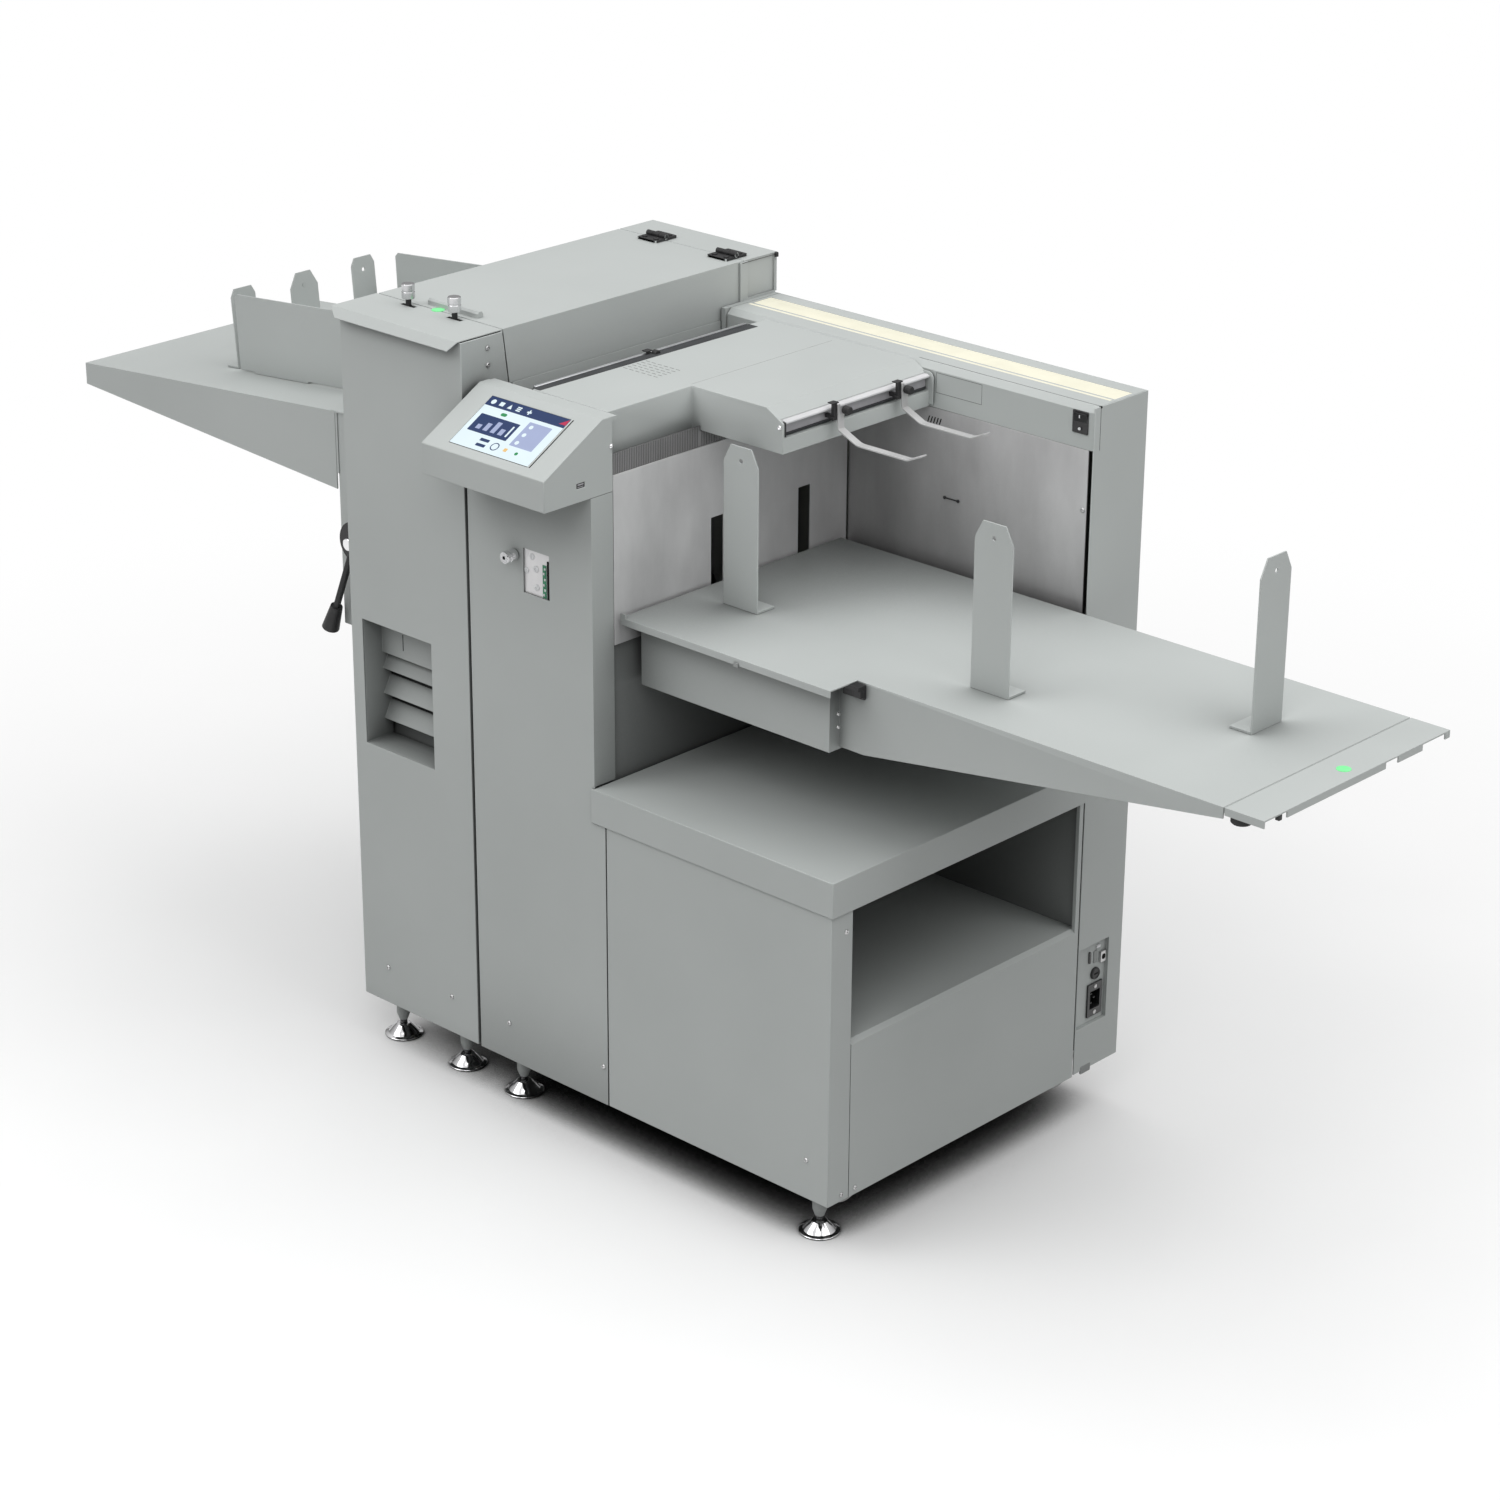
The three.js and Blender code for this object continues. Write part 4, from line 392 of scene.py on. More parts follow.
FORMED_PAINT = {
    0.5: ("tray_guide_front", "tray_guide_rear", "tray_stop_front", "tray_stop_middle", "tray_stop_rear",
          "paddle_front_left", "paddle_front_right", "paddle_end", "louvre_panel", "inlet_panel"),
    0.6: ("top_plate", "tail_plate"),
    0.7: ("console_shell", "feed_table", "delivery_tray", "delivery_bracket", "hood"),
    0.8: ("cabinet_side_cover", "shelf_cover", "tower_front_cover", "tower_rear_cover", "infill_cover",
          "rear_housing"),
    0.9: ("cabinet_front_cover", "feed_head"),
    1.2: ("control_box",),
}
# Copies of the paint with deeper painted shade, for covers under overhangs and in recesses
SPECIAL_PAINT = {
    "infill_cover": PAINT_WITH_WIDE_SHADE, "feed_table": PAINT_WITH_WIDE_SHADE,
    "louvre_panel": PAINT_WITH_RECESS_SHADE, "tower_front_cover": PAINT_WITH_RECESS_SHADE,
}
SOFTENED_PARTS = {
    "lay_plate": (ZINC, 0.4), "scale_plate": (ZINC, 0.4), "rear_guide_plate": (ZINC_WITH_PAINTED_SHADE, 0.4),
    "light_lens": (LENS, 0.4), "power_switch": (GLOSS_BLACK, 0.6), "mains_inlet": (GLOSS_BLACK, 0.5),
    "touch_screen": (GLOSS_BLACK, 0.5), "side_lever": (BLACK, 1.2),
}
# The frames inside take the darker paint, whose darkness there is painted shade
CAD_FINISHES = {
    "base_frame": DARKER_PAINT, "tower_frame": DARKER_PAINT, "lift_rails": STEEL, "crease_beam": STEEL,
    "feed_roller_lower": RUBBER, "feed_roller_upper": RUBBER, "suction_drum": ALLOY, "drive_motor": BLACK,
}
for width, nodes in FORMED_PAINT.items():
    for node in nodes:
        softened(node, SPECIAL_PAINT.get(node, PAINT), width)
for node, (material, width) in SOFTENED_PARTS.items():
    softened(node, material, width)
for node, material in CAD_FINISHES.items():
    cad_material(node, material)

cabinet, tower, infill = Box("cabinet_front_cover"), Box("tower_front_cover"), Box("infill_cover")
rear_cover, top, hood = Box("tower_rear_cover"), Box("top_plate"), Box("hood")
housing, console, control = Box("rear_housing"), Box("console_shell"), Box("control_box")
head, rail, guide = Box("feed_head"), Box("head_rail"), Box("rear_guide_plate")
table, tail = Box("feed_table"), Box("tail_plate")

# Thickness of what is drawn on a face, and how far such a piece sits in its face
DRAWN = 0.1
SUNK = 0.3

# Screws of the covers: a low cap with a socket
SCREW_RADIUS = 3.6
SCREW_RISE = 2.0
SCREW_SEAT = 0.5
SOCKET_RADIUS = 1.7
CAP_RIM_SHARE = 0.4
CAP_CROWN_SHARE = 0.72
SOCKET_FLOOR_SHARE = 0.3


def screws(name, places, material=STEEL):
    """places are pairs of a seat and the way that the screw's cap faces."""
    maker = Maker()
    for seat, axis in places:
        maker.lathe([
            (SCREW_RADIUS, -SCREW_SEAT),
            (SCREW_RADIUS, SCREW_RISE * CAP_RIM_SHARE),
            (SCREW_RADIUS * CAP_CROWN_SHARE, SCREW_RISE),
            (SOCKET_RADIUS, SCREW_RISE),
            (SOCKET_RADIUS, SCREW_RISE * SOCKET_FLOOR_SHARE),
            (0, SCREW_RISE * SOCKET_FLOOR_SHARE),
        ], seat, axis, sides=24)
    maker.done(name, material)


FRONT_SCREW_HEIGHT = 58
TOWER_SCREW_INSETS = (53, 54)
TOWER_SIDE_SCREW_Y = 48.5
TOWER_SIDE_SCREW_DROPS = (19, 42.5)
INFILL_SCREW_INSETS = (60, 8)
CABINET_SCREW_INSET = 39
CABINET_SIDE_SCREWS = ((27, 10), (54, 10), (28.5, 395))
HEAD_STEP_Y = 208
PLATE_SCREW_INSET = 6
HEAD_SCREW_DROP = 23
GUIDE_SCREW_DROP = 83.7


def front_seats(cover, insets):
    left, right = insets
    return [((x, 0, FRONT_SCREW_HEIGHT), FORWARD) for x in (cover.x0 + left, cover.x1 - right)]


screws("tower_cover_screws", front_seats(tower, TOWER_SCREW_INSETS)
       + [((tower.x1, TOWER_SIDE_SCREW_Y, top.z1 - drop), ALONG_X) for drop in TOWER_SIDE_SCREW_DROPS])
screws("infill_cover_screws", front_seats(infill, INFILL_SCREW_INSETS))
screws("cabinet_cover_screws", [((cabinet.x1 - CABINET_SCREW_INSET, 0, FRONT_SCREW_HEIGHT), FORWARD)]
       + [((cabinet.x1, y, z), ALONG_X) for y, z in CABINET_SIDE_SCREWS])
screws("head_cover_screw",
       [((head.x1 - PLATE_SCREW_INSET, HEAD_STEP_Y, head.z1 - HEAD_SCREW_DROP), FORWARD)], CHROME)
screws("guide_plate_screw",
       [((guide.x1 - PLATE_SCREW_INSET, guide.y0, guide.z1 - GUIDE_SCREW_DROP), FORWARD)])

# Levelling feet: chromed bell with a rubber pad, ball joint and grey sleeve
# The bell's and the pad's outlines pair an inset from the foot's rim with a height, the others a radius
BELL_OUTLINE = ((2.0, 1.2), (0.3, 1.6), (0, 2.4), (0.6, 3.2), (4.8, 3.6), (6.0, 4.6), (9.0, 8.5),
                (13.5, 13.0), (17.0, 16.5), (18.5, 18.0), (20.0, 18.5), (21.5, 18.3))
PAD_OUTLINE = ((3, 0), (2, 0.4), (2, 1.3))
BALL_JOINT_OUTLINE = ((0, 18.1), (5.0, 18.1), (5.5, 19.0), (5.5, 24.6), (0, 24.6))
SLEEVE_OUTLINE = ((0, 24.4), (6.0, 24.4), (6.5, 25.2), (9.7, 34.0), (10.0, 36.0))
SLEEVE_RADIUS = 10.0
FOOT_NODES = ("foot_tower_left", "foot_tower_right", "foot_base_left", "foot_base_right",
              "foot_rear_left", "foot_rear_right")


def inset_outline(rim, outline):
    """A closed profile from pairs of an inset from the rim and a height."""
    points = [(rim - inset, height) for inset, height in outline]
    return [(0, points[0][1])] + points + [(0, points[-1][1])]


for node in FOOT_NODES:
    foot = Box(node)
    rim = foot.x1 - foot.x
    ground = (foot.x, foot.y, foot.z0)
    sleeve_top = foot.z1 - foot.z0
    bell = Maker().lathe(inset_outline(rim, BELL_OUTLINE), ground, sides=64)
    bell.done(node + "_bell", CHROME, replaces=(node,), smooth=50)
    Maker().lathe(inset_outline(rim, PAD_OUTLINE), ground, sides=48).done(node + "_pad", RUBBER)
    joint = Maker().lathe(BALL_JOINT_OUTLINE, ground, sides=32)
    joint.done(node + "_ball_joint", GLOSS_BLACK, smooth=60)
    sleeve = Maker().lathe(SLEEVE_OUTLINE + ((SLEEVE_RADIUS, sleeve_top), (0, sleeve_top)), ground)
    sleeve.done(node + "_sleeve", PAINT, smooth=50)

# Castor wheels: pale tyre on a darker hub; the edge pairs a drop from the rim with an inset from the side
TYRE_HALF = 11
TYRE_EDGE = ((9, 1), (3.5, 0), (1, 1.6), (0, 4))
HUB_INSET = 1.5
AXLE_RADIUS = 4


def pin(radius, start, end):
    """Profile of a plain round bar whose start is hidden."""
    return [(radius, start), (radius, end), (0, end)]


for node in ("castor_wheel_front", "castor_wheel_rear"):
    wheel = Box(node)
    hub = (wheel.x, wheel.y, wheel.z)
    rim = wheel.z1 - wheel.z
    near = [(rim - drop, inset - TYRE_HALF) for drop, inset in TYRE_EDGE]
    far = [(radius, -place) for radius, place in reversed(near)]
    tyre = Maker().lathe(near + far + [(0, TYRE_HALF - HUB_INSET)], hub, ALONG_X, 56)
    tyre.done(node + "_tyre", TYRE, node, replaces=(node,), smooth=50)
    axle = Maker().lathe(pin(AXLE_RADIUS, wheel.x0 - wheel.x, wheel.x1 - wheel.x), hub, ALONG_X, 24)
    axle.done(node + "_axle", STEEL, node)

# Round green labels
LABEL_RADIUS = 9.3
LABEL_RISE = 0.5
LABEL_CROWN = 0.7
HOOD_LABEL_SHIFT = 4
HOOD_LABEL_INSET = 0.5
TAIL_LABEL_INSET = 23.5


def round_label(name, place, body):
    disc = Maker().lathe([(LABEL_RADIUS, 0), (LABEL_RADIUS, LABEL_RISE), (0, LABEL_CROWN)], place)
    disc.done(name, GREEN, body)


round_label("hood_label", (hood.x - HOOD_LABEL_SHIFT, hood.y0 + HOOD_LABEL_INSET, top.z1), "hood")
round_label("tail_plate_label", (tail.x1 - TAIL_LABEL_INSET, tail.y, tail.z1), "tail_plate")

# Top plate: knurled knobs on black stems, in slots filled with painted shade
KNOB_RADIUS = 9.2
KNOB_HEIGHT = 21
KNOB_EDGE = 0.9
KNOB_STEM = 4
KNOB_CROWN = 1
KNOB_OVERLAP = 0.4
KNURL_SHARE = -0.012
GROOVE_DEPTH = 0.5
GROOVE_SHARES = (0.45, 0.48, 0.54, 0.57)
STEM_OUTLINE = ((0, -9.3), (7.8, -9.3), (7.8, -2.4), (3.0, -2.4), (3.0, -0.5), (KNOB_STEM, 0.3))
SLOT_HALF_LENGTH = 14
SLOT_HALF_WIDTH = 3.5
SLOT_SHADE_TOP = 0.6
SLOT_SHADE_FLOOR = 1.6


def knurl(share):
    """Every second rib of a turned grip is lower by this share of its radius."""
    return lambda i: share if i % 2 else 0.0


slot_shades = Maker()
for node in ("top_knob_left", "top_knob_right"):
    knob = Box(node)
    base = (knob.x, knob.y, top.z1)
    rise = knob.z1 - top.z1 - KNOB_CROWN
    low = rise - KNOB_HEIGHT
    groove = [low + KNOB_HEIGHT * share for share in GROOVE_SHARES]
    cap = Maker().lathe([
        (KNOB_STEM - GROOVE_DEPTH, low), (KNOB_RADIUS - KNOB_EDGE, low), (KNOB_RADIUS, low + KNOB_EDGE),
        (KNOB_RADIUS, groove[0]), (KNOB_RADIUS - GROOVE_DEPTH, groove[1]),
        (KNOB_RADIUS - GROOVE_DEPTH, groove[2]), (KNOB_RADIUS, groove[3]),
        (KNOB_RADIUS, rise - KNOB_EDGE), (KNOB_RADIUS - KNOB_EDGE, rise), (0, rise),
    ], base, sides=72, wave=knurl(KNURL_SHARE))
    cap.done(node + "_cap", KNOB_METAL, node, replaces=(node,), smooth=20)
    stem_top = low + KNOB_OVERLAP
    stem = Maker().lathe(STEM_OUTLINE + ((KNOB_STEM, stem_top), (0, stem_top)), base, sides=32)
    stem.done(node + "_stem", BLACK, node)
    slot_shades.block(knob.x - SLOT_HALF_LENGTH, knob.x + SLOT_HALF_LENGTH, knob.y - SLOT_HALF_WIDTH,
                      knob.y + SLOT_HALF_WIDTH, top.z1 - SLOT_SHADE_FLOOR, top.z1 - SLOT_SHADE_TOP)
slot_shades.done("top_plate_slot_painted_shade", GAP)

# Hood: black moulded hinges over the sheet leaves
HINGE_HALF = 19
HINGE_LEAF_END = 22
HINGE_LEAF_GAP = 0.8
HINGE_LAP = 0.2
HINGE_CORNER = 2.5
HINGE_PLATE = 3.9
HINGE_AXIS_RISE = 5.5
HINGE_AXIS_Y = 550
KNUCKLE = 4.3
KNUCKLE_MIDDLE, KNUCKLE_OUTER = 6.3, 6.8
HINGE_PIN = 2.1
HINGE_CAP_PLACE = (11.5, 13.5)
HINGE_CAP_OUTLINE = ((4.2, 0), (4.2, 1.2), (3.0, 1.9), (1.6, 1.9), (1.6, 0.9), (0, 0.9))


def hinge_leaf(maker, x, side):
    near, far = sorted((side * HINGE_LEAF_GAP, side * HINGE_LEAF_END))
    half = HINGE_HALF + HINGE_LAP
    outline = rounded(x - half, x + half, HINGE_AXIS_Y + near, HINGE_AXIS_Y + far, HINGE_CORNER)
    maker.prism(outline, top.z1 + DRAWN / 2, top.z1 + HINGE_PLATE, "xy")
    along, across = HINGE_CAP_PLACE
    for offset in (-along, along):
        maker.lathe(HINGE_CAP_OUTLINE, (x + offset, HINGE_AXIS_Y + side * across, top.z1 + HINGE_PLATE),
                    sides=24)


for node in ("hood_hinge_left", "hood_hinge_right"):
    hinge = Box(node)
    axis_middle = (hinge.x, HINGE_AXIS_Y, top.z1 + HINGE_AXIS_RISE)
    pin_end = HINGE_HALF + HINGE_LEAF_GAP
    fixed = Maker()
    hinge_leaf(fixed, hinge.x, 1)
    fixed.lathe(pin(KNUCKLE, -KNUCKLE_MIDDLE, KNUCKLE_MIDDLE), axis_middle, ALONG_X, 24)
    fixed.lathe(pin(HINGE_PIN, -pin_end, pin_end), axis_middle, ALONG_X, 16)
    fixed.done(node + "_moulding", BLACK, replaces=(node,), bevel=0.3)
    moving = Maker()
    hinge_leaf(moving, hinge.x, -1)
    for from_x, to_x in ((-HINGE_HALF, -KNUCKLE_OUTER), (KNUCKLE_OUTER, HINGE_HALF)):
        moving.lathe(pin(KNUCKLE, from_x, to_x), axis_middle, ALONG_X, 24)
    moving.done(node + "_moving_moulding", BLACK, "hood", bevel=0.3)

# Control box: display with a generic menu
# The menu's shapes are in millimetres of the glass: u to the right and v up from its middle
screen = Box("touch_screen")
SLOPE = math.radians(29.3)
SCREEN_SHIFT, SCREEN_Y, SCREEN_Z = 2, -30.5, 958.3
SCREEN_HALF_WIDTH = 75
SCREEN_HALF_LENGTH = 46
SCREEN_MARGIN = 0.5
GLASS_TOP = -0.3
PIXEL_LAYER = 0.08
RIM_WIDTH = 2.6
RIM_TOP = -0.05
screen_middle = Vector((screen.x - SCREEN_SHIFT, SCREEN_Y, SCREEN_Z))


def on_screen(u, v, n):
    """u runs to the right, v up the slope and n out of the glass."""
    spot = screen_middle + Vector((u, v * math.cos(SLOPE) - n * math.sin(SLOPE),
                                   v * math.sin(SLOPE) + n * math.cos(SLOPE)))
    return at(*spot)


def circle(u, v, radius, sides=24):
    return [(u + radius * math.cos(2 * math.pi * i / sides), v + radius * math.sin(2 * math.pi * i / sides))
            for i in range(sides)]


half_width, half_length = SCREEN_HALF_WIDTH - SCREEN_MARGIN, SCREEN_HALF_LENGTH - SCREEN_MARGIN
MENU_BAR_LOW = 29
BAR_HEIGHTS = (8, 14, 20, 11)
BAR_LEFT, BAR_FLOOR, BAR_PITCH, BAR_WIDTH = -56, -12, 14, 8
SIDE_MARKS = (15, 0, -15)
job_lefts = [BAR_LEFT + BAR_PITCH * i for i in range(len(BAR_HEIGHTS))]
DISPLAY = {
    "display_ground": (UI_WHITE, 0, [rounded(-half_width, half_width, -half_length, half_length, 0.6)]),
    "display_menu_bar": (UI_NAVY, 1, [rounded(-half_width, half_width, MENU_BAR_LOW, half_length, 0.5)]),
    "display_menu_marks": (UI_WHITE, 2, [
        circle(-64, 37, 4.2), rounded(-52, -44, 33.5, 40.5, 0.8), [(-36, 33), (-28, 33), (-32, 41)],
        rounded(-20, -12, 33, 35, 0.5), rounded(-20, -12, 36, 38, 0.5), rounded(-20, -12, 39, 41, 0.5),
        rounded(0, 8, 35.8, 38.2, 0.5), rounded(2.8, 5.2, 33, 41, 0.5)]),
    "display_menu_corner": (UI_RED, 2, [[(62, 34), (74, 34), (74, 45)]]),
    "display_job_panel": (UI_NAVY, 1, [rounded(-66, 8, -18, 14, 1.0)]),
    "display_job_bars": (UI_BLUE, 2, [
        rounded(left, left + BAR_WIDTH, BAR_FLOOR, BAR_FLOOR + height, 0.5)
        for left, height in zip(job_lefts, BAR_HEIGHTS)]),
    "display_job_line": (UI_WHITE, 2, [rounded(0, 3, BAR_FLOOR, 8, 0.8)]),
    "display_state_mark": (UI_GREEN, 1, [rounded(-36, -25, 18.5, 24, 2.7)]),
    "display_side_column": (UI_BLUE, 1, [rounded(18, 60, -22, 23, 1.0)]),
    "display_side_marks": (UI_WHITE, 2, [circle(27, v, 3.4) for v in SIDE_MARKS]),
    "display_buttons": (UI_NAVY, 1, [rounded(-32, -15, -29, -24, 1), rounded(-32, -15, -38.5, -33.5, 1)]),
    "display_ring": (UI_NAVY, 1, [circle(0, -31.5, 7)]),
    "display_ring_middle": (UI_WHITE, 2, [circle(0, -31.5, 5.4)]),
    "display_pause_mark": (UI_AMBER, 1, [rounded(17, 23, -34.5, -28.5, 1)]),
    "display_run_mark": (UI_GREEN, 1, [circle(41, -32, 2.8)]),
}
for name, (material, layer, shapes) in DISPLAY.items():
    maker = Maker(on_screen)
    low = GLASS_TOP + PIXEL_LAYER * layer
    for points in shapes:
        maker.prism(points, low, low + PIXEL_LAYER, "xy")
    maker.done(name, material)
rim = Maker(on_screen)
for side in (-1, 1):
    inner, outer = sorted((side * SCREEN_HALF_WIDTH, side * (SCREEN_HALF_WIDTH + RIM_WIDTH)))
    rim.block(inner, outer, -half_length - 1, half_length + 1, GLASS_TOP, RIM_TOP)
rim.done("display_rim", PAINT)

# Control box: domed screw and data socket in its right side
dome = Maker().lathe([(3.6, -0.3), (3.6, 0.8), (2.8, 2.0), (1.4, 2.8), (0, 3.0)],
                     (control.x1, control.y1 - 3, control.z1 - 40.3), ALONG_X, 32)
dome.done("control_box_screw", CHROME, smooth=60)
TONGUE_HALF = 5.5
TONGUE_LAYERS = ((0.3, 0.5, 2.5), (0.5, -2.3, -1.3))
socket_y, socket_z = control.y + 4, control.z0 + 22.2
tongue = Maker()
for depth, low, high in TONGUE_LAYERS:
    tongue.block(control.x1 - 1.4, control.x1 - depth, socket_y - TONGUE_HALF, socket_y + TONGUE_HALF,
                 socket_z + low, socket_z + high)
tongue.done("data_socket_tongue", SHADED_ALLOY, bevel=0.2)

# Window of the infill cover: rollers and board behind it, placed from the plate's middle
window = Box("scale_plate")
WINDOW_ROLLERS = ((-9.5, 22, 4.2), (-20.5, 0.5, 4.0), (-2.5, 6, 4.6), (-1.5, -20, 4.6))
BOARD_RISE = 0.7
CHIP_HEIGHTS = (-26.5, -19.5, -12.5, -4.5, 3.5, 10.5)
CHIP_LEFT, CHIP_SHIFT, CHIP_WIDTH, CHIP_HALF = 12, 2, 2.5, 1.6
works = Maker()
for x, z, radius in WINDOW_ROLLERS:
    works.lathe([(radius, 0), (radius, 1.0), (radius * 0.8, 1.5), (radius * 0.35, 1.5), (radius * 0.35, 0.6),
                 (0, 0.6)], (window.x + x, window.y0, window.z + z), FORWARD, 32)
works.done("window_rollers", WHITE)
chips = Maker()
for index, z in enumerate(CHIP_HEIGHTS):
    left = window.x + CHIP_LEFT + CHIP_SHIFT * (index % 2)
    chips.block(left, left + CHIP_WIDTH, window.y0 - 2 * BOARD_RISE, window.y0 - BOARD_RISE,
                window.z + z - CHIP_HALF, window.z + z + CHIP_HALF)
chips.done("window_board_parts", WHITE, bevel=0.15)

# Setting knob: its outlines pair a radius with a distance from its back
SETTING_OUTLINE = ((7.4, 0), (8.2, 0.6), (8.2, 11.0), (7.4, 11.4), (7.4, 12.4), (8.4, 12.8), (8.4, 19.0),
                   (7.9, 20.0), (2.6, 20.0), (2.6, 17.0), (0, 17.0))
SETTING_SHAFT = ((0, -8.5), (3, -8.5), (3, 0.2), (0, 0.2))
SETTING_FACE = ((2.7, 19.9), (2.7, 20.12), (7.6, 20.12), (7.6, 19.9))
SETTING_GAP = 1.0
SETTING_KNURL_SHARE = -0.025
setting = Box("setting_knob")
seat = (setting.x, -SETTING_GAP, setting.z)
knob = Maker().lathe(SETTING_OUTLINE, seat, FORWARD, 72, wave=knurl(SETTING_KNURL_SHARE))
knob.lathe(SETTING_SHAFT, seat, FORWARD, 24)
knob.done("setting_knob_turned", CHROME, "setting_knob", replaces=("setting_knob",), smooth=20)
Maker().lathe(SETTING_FACE, seat, FORWARD, 48).done("setting_knob_face", WHITE, "setting_knob")

# Rail and clamp at the head's far side; painted shade in the channel beside the head widens towards the back
FAR_RAIL_END_Y = 468
CHANNEL_REACHES = (11.5, 17)
FAR_CLAMP_Y = 272
far_x0, far_x1 = head.x0 - 10, head.x0 - 4.5
far_top = control.z1 + 0.2
head_edge_x = head.x0 - 0.4
channel_y = head.y0 + 2
# A near-black block and wedge paint the shade in the channel between the rail and the head
channel = Maker().block(far_x1 - 0.2, head_edge_x, channel_y, FAR_RAIL_END_Y, far_top - 12, head.z1 - 1)
front_reach, rear_reach = CHANNEL_REACHES
channel.prism([(head_edge_x, channel_y), (head.x0 + front_reach, channel_y),
               (head.x0 + rear_reach, FAR_RAIL_END_Y), (head_edge_x, FAR_RAIL_END_Y)],
              head.z1 - SUNK, head.z1 + 0.2, "xy")
channel.done("far_rail_channel_shade", DEEP_GREY)
clamp_x = far_x1 + 1.5
far_clamp = Maker()
far_clamp.block(clamp_x - 7, clamp_x + 3, FAR_CLAMP_Y - 7, FAR_CLAMP_Y + 4, far_top + 2.6, far_top + 4.2)
far_clamp.block(clamp_x - 2.5, clamp_x + 1, FAR_CLAMP_Y - 4, FAR_CLAMP_Y + 1, far_top - 9, far_top + 3)
far_clamp.lathe([(0, 2.6), (5.6, 2.6), (6.0, 3.4), (6.0, 9.4), (5.2, 10.4), (0, 10.4)],
                (clamp_x, FAR_CLAMP_Y + 7, far_top - 1.5), ALONG_X, 24)
far_clamp.done("far_rail_clamp", BLACK, bevel=0.4)
far_neck = Maker().lathe(pin(2.2, 0.8, 2.9), (clamp_x, FAR_CLAMP_Y + 1.5, far_top - 0.5), ALONG_X, 20)
far_neck.done("far_rail_clamp_neck", CHROME)

# Head: vent slots
VENT_ROWS, VENT_ROW_PITCH, VENT_DEPTH = 6, 8.6, 1.3
VENT_COLUMNS, VENT_COLUMN_PITCH, VENT_WIDTH = 6, 11.4, 7.5
VENT_INSET_X, VENT_INSET_Y = 18, 151
vents = Maker()
for row in range(VENT_ROWS):
    for column in range(VENT_COLUMNS):
        y = head.y0 + VENT_INSET_Y + VENT_ROW_PITCH * row
        x = head.x0 + VENT_INSET_X + VENT_COLUMN_PITCH * column
        vents.block(x, x + VENT_WIDTH, y, y + VENT_DEPTH, head.z1 - SUNK, head.z1 + DRAWN)
vents.done("head_vent_slots", FINE_LINE)

# Near rail: its pale lip and the plate at its end
LIP = 2.6
rail_back = rail.x0 + 0.2
lip_x = rail.x1 + 3.2
web_x = rail.x1 - 4.5
web_y0, web_y1 = rail.y0 + 0.2, rail.y1 - 0.2
plate_x, plate_foot = rail.x1 + 9, head.z0 + 3.5
lip = Maker().prism([
    (rail_back, rail.z1 - LIP), (lip_x, rail.z1 - LIP), (lip_x, rail.z1 - 0.6), (lip_x - 0.6, rail.z1),
    (rail.x1, rail.z1 + 1.2), (rail.x1 - 1, rail.z1 + 1.6), (rail_back, rail.z1 + 1.6),
], rail.y0, rail.y1)
lip.done("head_rail_lip", WHITE_METAL, bevel=0.3, replaces=("head_rail",))
end_plate = Maker().prism([
    (rail.x0 + 1, plate_foot), (plate_x, plate_foot), (plate_x, rail.z1 - 2), (plate_x - 3, rail.z1 + 3),
    (plate_x - 8, rail.z1 + 5), (rail.x0 + 1, rail.z1 + 5),
], rail.y1 + 0.4, rail.y1 + 2.2)
end_plate.done("head_end_plate", PAINT, bevel=0.4)

# Hold-down hooks: black clamp, bent strip and thumb grip
STRIP_WIDTH = 12
STRIP_THICKNESS = 2.4
STRIP_SHIFT = 8
NECK_WIDTH = 4.5
stem_x = rail.x1 + 9.5
bar_x = stem_x + 6
grip_x = bar_x + 1.7
HOOK_CLAMPS = {"hook_front": 297, "hook_rear": 425}
# Clamp blocks: across and along the rail from the stem, then heights
CLAMP_BLOCKS = (
    (-1, 4.6, -3.5, 2.5, rail.z - 2, rail.z1 + 9),
    (-2.5, 5.2, -6, 4.5, rail.z - 4, rail.z + 0.5),
    (-5, 5, -6.5, 5.5, rail.z1 + 8.5, rail.z1 + 10.2),
    (web_x + 1.5 - stem_x, 0, -3, 2, rail.z - 3, rail.z + 3),
)
for node, y in HOOK_CLAMPS.items():
    hook = Box(node)
    clamp = Maker()
    for left, right, front, back, low, high in CLAMP_BLOCKS:
        clamp.block(stem_x + left, stem_x + right, y + front, y + back, low, high)
    clamp.done(node + "_clamp", BLACK, node, bevel=0.5, replaces=(node,))
    floor_z = hook.z0 + STRIP_THICKNESS / 2
    knee = rail.z - 18
    shoulder = rail.z + 3
    strip_y = y + STRIP_SHIFT
    route = ((0, shoulder), (0, knee + 4), (1.4, knee), (27, floor_z + 3), (32, floor_z + 0.8),
             (37, floor_z), (120, floor_z), (124, floor_z + 1.2), (hook.x1 - 1 - bar_x, hook.z0 + 12))
    bar = Maker().strip([(bar_x + reach, strip_y, z) for reach, z in route], ALONG_Y, STRIP_WIDTH,
                        STRIP_THICKNESS)
    bar.strip([(bar_x, strip_y - 3.2, shoulder - 1), (bar_x, strip_y - 4.6, rail.z1 + 7.5)],
              ALONG_Y, NECK_WIDTH, STRIP_THICKNESS)
    bar.done(node + "_strip", BARE_STRIP, node, bevel=0.4)
FLUTE_SHARE = -0.06
for node in ("thumb_knob_front", "thumb_knob_rear"):
    grip = Box(node)
    turned = Maker().lathe([
        (2.5, -0.4), (2.5, 0), (4.6, 0), (5.7, 1.2), (5.7, 10.4), (4.8, 11.6), (0, 11.6),
    ], (grip_x, grip.y - 7, grip.z + 5), ALONG_X, 48, wave=lambda i: FLUTE_SHARE if i % 4 == 0 else 0.0)
    turned.done(node + "_grip", BLACK, node, replaces=(node,), smooth=30)

